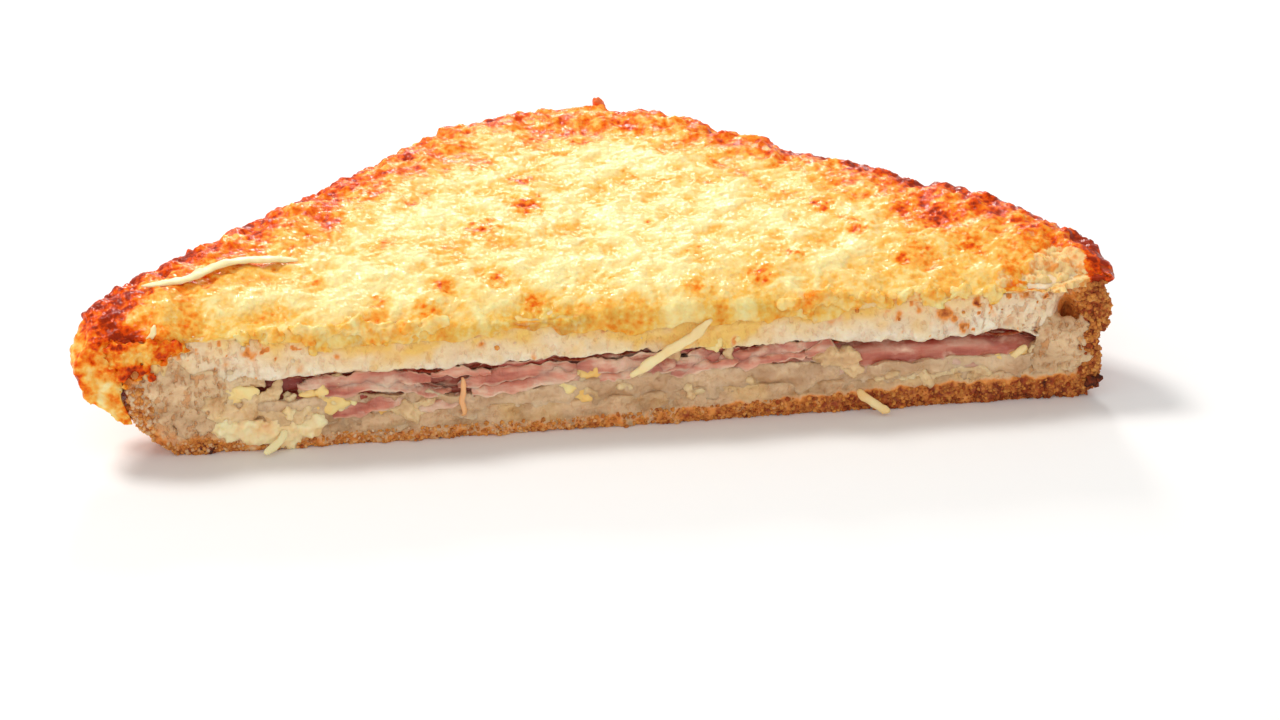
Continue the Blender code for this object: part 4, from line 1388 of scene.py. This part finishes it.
def add_sauce_lumps(s):
    """Adds the lumps of sauce and the flakes that stand in the pocket."""

    def shape(p, n):
        return n * (0.0003 * lumps(p, 0.0024, 3, 50.0) + 0.0002 * lumps(p, 0.0009, 2, 51.0)), ()

    bm = cut_lumps(SAUCE_LUMPS, SAUCE_LUMP_SIZE, 0.0010, {}, (1.0, 0.5, 0.5), 200.0)
    whole = 2 * FLAKE_SIZE / MM
    for k, (x, z, width, height, depth) in enumerate(FLAKES):
        flat = (width / whole, 0.22, height / whole)
        add_lump(bm, Vector((x, depth, z)) * MM, FLAKE_SIZE, 230.0 + 2 * k, flat)
    bm = fused(bm, voxel=0.00026)
    work_over(bm, shape)
    finished("sauce_lumps", bm, sauce_finish("sauce_lumps", s.sauce), "white_sauce")


def add_torn_crumb(bread):
    """Adds the crumb that tore at the two ends of the pocket, whose foot at the left is soggy."""

    def shape(p, n):
        relief, dark = crumb_height(p, bread, 1.0)
        relief = 0.9 * relief + 0.0002 * lumps(p, 0.0009, 3, 44.0)
        damp = fade(p.z + 0.001 * lumps(p, 0.002, 2, 45.0), 0.005, 0.010) * (p.x < 0)
        # The pore tone is painted shade: in the pores, and darker the farther back the crumb lies
        return n * relief, (max(0.8 * dark, rise(p.y, 0.0, 0.0020)), 1.0, 0.6 * damp)

    bm = cut_lumps(TORN_CRUMB, CLUMP_SIZE, 0.0011, {}, (0.95, 0.42, 0.85), 300.0)
    bm = fused(bm, voxel=0.00034, smoothings=3)
    work_over(bm, shape, ("pore", "open", "moist"))
    finished("torn_crumb", bm, bread_finish("torn_crumb", bread, bread.soggy, 0.2), "white_bread")


class CROQUE_OT_lumps(bpy.types.Operator):
    """Add the melted bits, the lumps of sauce and the torn crumb in the pocket"""

    bl_idname = "croque.lumps"
    bl_label = "Lumps in the pocket"

    def execute(self, context):
        bread = context.scene.croque_bread
        cheese = context.scene.croque_cheese
        filling = context.scene.croque_filling
        browned = {"browning": (0.05, 0.10, 0.14)}
        bits = cut_lumps(CUT_BITS, filling.bit_size, 0.0004, browned, (0.8, 0.22, 0.5), 60.0)
        place = rest_on(surface("gratin"), *NUB, lift=0.0008)
        nub = add_lump(bits, place, NUB_SIZE, 5.0, (0.4, 0.4, 0.8))
        set_tone(bits, nub, "browning", 0.62)
        finished("cheese_bits", bits, shred_finish("cheese_bits", cheese, 0.05), "melted_cheese")
        pale = shred_finish("cheese_clump", cheese, 0.35)
        add_melted("cheese_clump", CLUMPS, 0.0, 0.10, 0.25, pale)
        for name, places, depth, brown, ragged in (
            ("cheese_flap", FLAP, -0.0005, 0.62, 0.60),
            ("cheese_fringe", FRINGE, -0.0001, 0.18, 0.25),
        ):
            finish = cheese_finish(cheese, bread, name)
            add_melted(name, places, depth, brown, ragged, finish)
        add_sauce_lumps(filling)
        add_torn_crumb(bread)
        return {"FINISHED"}


class CROQUE_OT_scraps(bpy.types.Operator):
    """Add the torn ends of ham that hang at the cut"""

    bl_idname = "croque.scraps"
    bl_label = "Scraps of ham"

    def execute(self, context):
        s = context.scene.croque_filling
        bm = toned_mesh("edge", "deep")
        edge, deep = (bm.verts.layers.float[name] for name in ("edge", "deep"))
        for k, (line, width, tilt, depth, red) in enumerate(HAM_ENDS):
            seed = 80.0 + 3 * k
            facing = Vector((0, -1, tilt)).normalized()
            path = [Vector((x, depth, z)) * MM for x, z in line]
            made = draw_strip(
                bm, path, width * MM, HAM_END_THICKNESS, facing, step=0.0003, sides=24, seed=seed
            )
            for v in made:
                flat = Vector((v.co.x / 1.5, 0, v.co.z))
                rim = rise(v[edge], 0.70, 0.97)
                fold = lumps(flat, 0.0026, 2, seed)
                v.co += facing * s.folds * (fold + 0.25 * lumps(flat, 0.0009, 2, seed + 1))
                v.co.z += 0.0006 * v[edge] * lumps(flat, 0.0013, 3, seed + 2)
                # Painted shade: deeper red where a fold dips back, less at the rim
                v[deep] = min(max(red - 0.5 * fold - 0.3 * rim, 0.0), 1.0)
                v[edge] = rim * min(max(0.55 + 0.5 * lumps(flat, 0.0030, 2, seed + 3), 0.0), 1.0)
        finished("ham_scraps", bm, ham_finish(s), "ham")
        return {"FINISHED"}


class CROQUE_OT_shreds(bpy.types.Operator):
    """Add grated shreds of cheese on top and on the cut"""

    bl_idname = "croque.shreds"
    bl_label = "Shreds of cheese"

    def execute(self, context):
        s = context.scene.croque_filling
        top = surface("gratin")
        bm = toned_mesh("browning")
        upwards = Vector((0, 0, 1))
        for k, line in enumerate(TOP_SHREDS):
            path = [rest_on(top, x * MM, y * MM, SHRED_LIFT) for x, y in line]
            made = draw_strip(bm, path, s.shred_width, TOP_SHRED_THICKNESS, upwards, seed=k)
            set_tone(bm, made, "browning", 0.0)
        outwards = Vector((0, -1, 0.3)).normalized()
        for k, (line, width, brown) in enumerate(CUT_SHREDS):
            path = [Vector(place) * MM for place in line]
            made = draw_strip(bm, path, width * MM, CUT_SHRED_THICKNESS, outwards, seed=10.0 + k)
            set_tone(bm, made, "browning", brown)
        for v in bm.verts:
            v.co += 0.00025 * noise.noise_vector(v.co / 0.0012)
        cheese = context.scene.croque_cheese
        finished("cheese_shreds", bm, shred_finish("cheese_shreds", cheese), "melted_cheese")
        return {"FINISHED"}


def places_on(name, wanted):
    """Middles of the faces of a finished piece for which wanted(middle, normal) is true."""
    faces = ((f.center - CUT_MIDDLE, f.normal) for f in bpy.data.objects[name].data.polygons)
    return [place for place, normal in faces if wanted(place, normal)]


def on_foot(p, n):
    """True on the toasted foot of the cut, which is higher at the right."""
    return p.y < 0.0015 and n.y < -0.2 and p.z < 0.0020 + 0.0014 * rise(p.x, -0.02, 0.07)


def on_ends(p, n):
    """True on the crust at the two ends of the cut."""
    return abs(p.x) > 0.0705 and n.y < 0.3 and p.y < 0.004 and (p.x > 0 or p.z < 0.011)


def on_right_rim(p, n):
    """True on the side of the cheese's rim at the right end of the cut."""
    return p.x > 0.0715 and n.z < 0.5 and p.y < 0.006 and p.z < 0.0185


def on_crumb(p, n):
    """True on the cut crumb of the top slice."""
    return p.y < 0.001 and n.y < -0.3 and p.z > ROOF + 0.002


class CROQUE_OT_granules(bpy.types.Operator):
    """Add toasted granules along the bottom of the cut and the crust, and specks on the crumb"""

    bl_idname = "croque.granules"
    bl_label = "Granules of toast"

    def execute(self, context):
        s = context.scene.croque_bread
        dice = random.Random(7)
        ends = places_on("bottom_bread", on_ends) + places_on("top_bread", on_ends)
        bm = toned_mesh("toast")
        for places, count, size, base in (
            (places_on("bottom_bread", on_foot), s.granules, 0.0006, 0.36),
            (ends + places_on("gratin", on_right_rim), s.granules // 2, 0.0008, 0.36),
            (places_on("top_bread", on_crumb), s.specks, 0.0007, 0.26),
        ):
            for _ in range(count):
                place = dice.choice(places)
                made = add_granule(bm, place, size * dice.uniform(0.5, 1.4), dice)
                right = rise(place.x, -0.03, 0.06)
                tone = base + 0.24 * right - 0.10 * min(place.z / 0.0034, 1.0) + dice.uniform(-0.12, 0.2)
                tone += 0.04 * rise(-place.x, 0.066, 0.071)
                set_tone(bm, made, "toast", tone)
        for x, z, size in CHARRED:
            made = add_granule(bm, Vector((x, -0.4, z)) * MM, size * MM, dice)
            set_tone(bm, made, "toast", 0.95)
        for v in bm.verts:
            v.co.z = max(v.co.z, PLATE_GAP)
        finished("toast_granules", bm, bread_finish("toast_granules", s, s.moist), "toasted_bread")
        return {"FINISHED"}


# Stage -------------------------------------------------------------------------------------

FLOOR_SIZE = 4.0
# Middle of the sandwich from the middle of the cut, and how far right of it and below it the
# camera looks
MIDDLE = Vector((0.0047, 0.0296, 0.010))
LOOK_RIGHT = 0.00266
LOOK_BELOW = 0.0111
# Each lamp's side and its place, and the place that all of them face, from the cut's middle
LAMPS = {
    "key": (0.30, (-0.46, 0.46, 0.98)),
    "window": (0.22, (0.10, 1.20, 0.55)),
    "front": (0.60, (-0.30, -1.20, 0.50)),
}
LAMP_COLOUR = (1.0, 0.97, 0.92)
SKY_COLOUR = (1.0, 0.99, 0.97, 1)
LAMP_TARGET = Vector((0, 0.03, 0.02))


def aim(thing, target):
    """Turns a camera or a lamp towards a place."""
    thing.rotation_euler = (target - thing.location).to_track_quat("-Z", "Y").to_euler()


class CROQUE_OT_stage(bpy.types.Operator):
    """Add the floor, the lights and the camera"""

    bl_idname = "croque.stage"
    bl_label = "Stage"

    def execute(self, context):
        s = context.scene.croque_stage
        scene = context.scene
        bm = bmesh.new()
        bmesh.ops.create_grid(bm, x_segments=8, y_segments=8, size=FLOOR_SIZE)
        floor = made_object("floor", bm)
        floor.data.materials.append(floor_finish(s))

        middle = CUT_MIDDLE + MIDDLE
        turn, level = s.camera_turn, math.cos(s.camera_rise)
        back = Vector((math.sin(turn) * level, -math.cos(turn) * level, math.sin(s.camera_rise)))
        side = Vector((math.cos(turn), math.sin(turn), 0))
        camera = bpy.data.objects.new("camera", bpy.data.cameras.new("camera"))
        scene.collection.objects.link(camera)
        camera.data.lens = s.lens
        camera.data.sensor_width = 36.0
        camera.data.clip_start = 0.01
        camera.location = middle + back * s.distance
        aim(camera, middle + side * LOOK_RIGHT - back.cross(side) * LOOK_BELOW)
        scene.camera = camera

        for name, (size, place) in LAMPS.items():
            lamp = bpy.data.lights.new(name, "AREA")
            lamp.energy = getattr(s, name)
            lamp.size = size
            lamp.color = LAMP_COLOUR
            light = bpy.data.objects.new(name, lamp)
            scene.collection.objects.link(light)
            light.location = CUT_MIDDLE + Vector(place)
            aim(light, CUT_MIDDLE + LAMP_TARGET)

        world = bpy.data.worlds.new("studio")
        world.use_nodes = True
        background = world.node_tree.nodes["Background"]
        background.inputs["Color"].default_value = SKY_COLOUR
        background.inputs["Strength"].default_value = s.sky
        scene.world = world
        scene.view_settings.view_transform = "Standard"
        return {"FINISHED"}


# Add-on ------------------------------------------------------------------------------------

SETTINGS = {
    "croque_cheese": CheeseSettings,
    "croque_bread": BreadSettings,
    "croque_filling": FillingSettings,
    "croque_stage": StageSettings,
}
OPERATORS = (
    CROQUE_OT_bread,
    CROQUE_OT_cheese,
    CROQUE_OT_filling,
    CROQUE_OT_lumps,
    CROQUE_OT_scraps,
    CROQUE_OT_shreds,
    CROQUE_OT_granules,
    CROQUE_OT_stage,
)


class CROQUE_PT_panel(bpy.types.Panel):
    """Lists the pieces of the sandwich and their settings"""

    bl_label = "Croque monsieur"
    bl_idname = "CROQUE_PT_panel"
    bl_space_type = "VIEW_3D"
    bl_region_type = "UI"
    bl_category = "Croque"

    def draw(self, context):
        for operator in OPERATORS:
            self.layout.operator(operator.bl_idname)
        for name, group in SETTINGS.items():
            box = self.layout.box()
            box.label(text=group.__doc__)
            for prop in group.__annotations__:
                box.prop(getattr(context.scene, name), prop)


def register():
    for group in (*SETTINGS.values(), *OPERATORS, CROQUE_PT_panel):
        bpy.utils.register_class(group)
    for name, group in SETTINGS.items():
        setattr(bpy.types.Scene, name, PointerProperty(type=group))


def unregister():
    for name in SETTINGS:
        delattr(bpy.types.Scene, name)
    for group in reversed((*SETTINGS.values(), *OPERATORS, CROQUE_PT_panel)):
        bpy.utils.unregister_class(group)


def main():
    """Adds the pieces and the stage."""
    register()
    bpy.ops.croque.bread()
    bpy.ops.croque.cheese()
    bpy.ops.croque.filling()
    bpy.ops.croque.lumps()
    bpy.ops.croque.scraps()
    bpy.ops.croque.shreds()
    bpy.ops.croque.granules()
    bpy.ops.croque.stage()


if __name__ == "__main__":
    main()
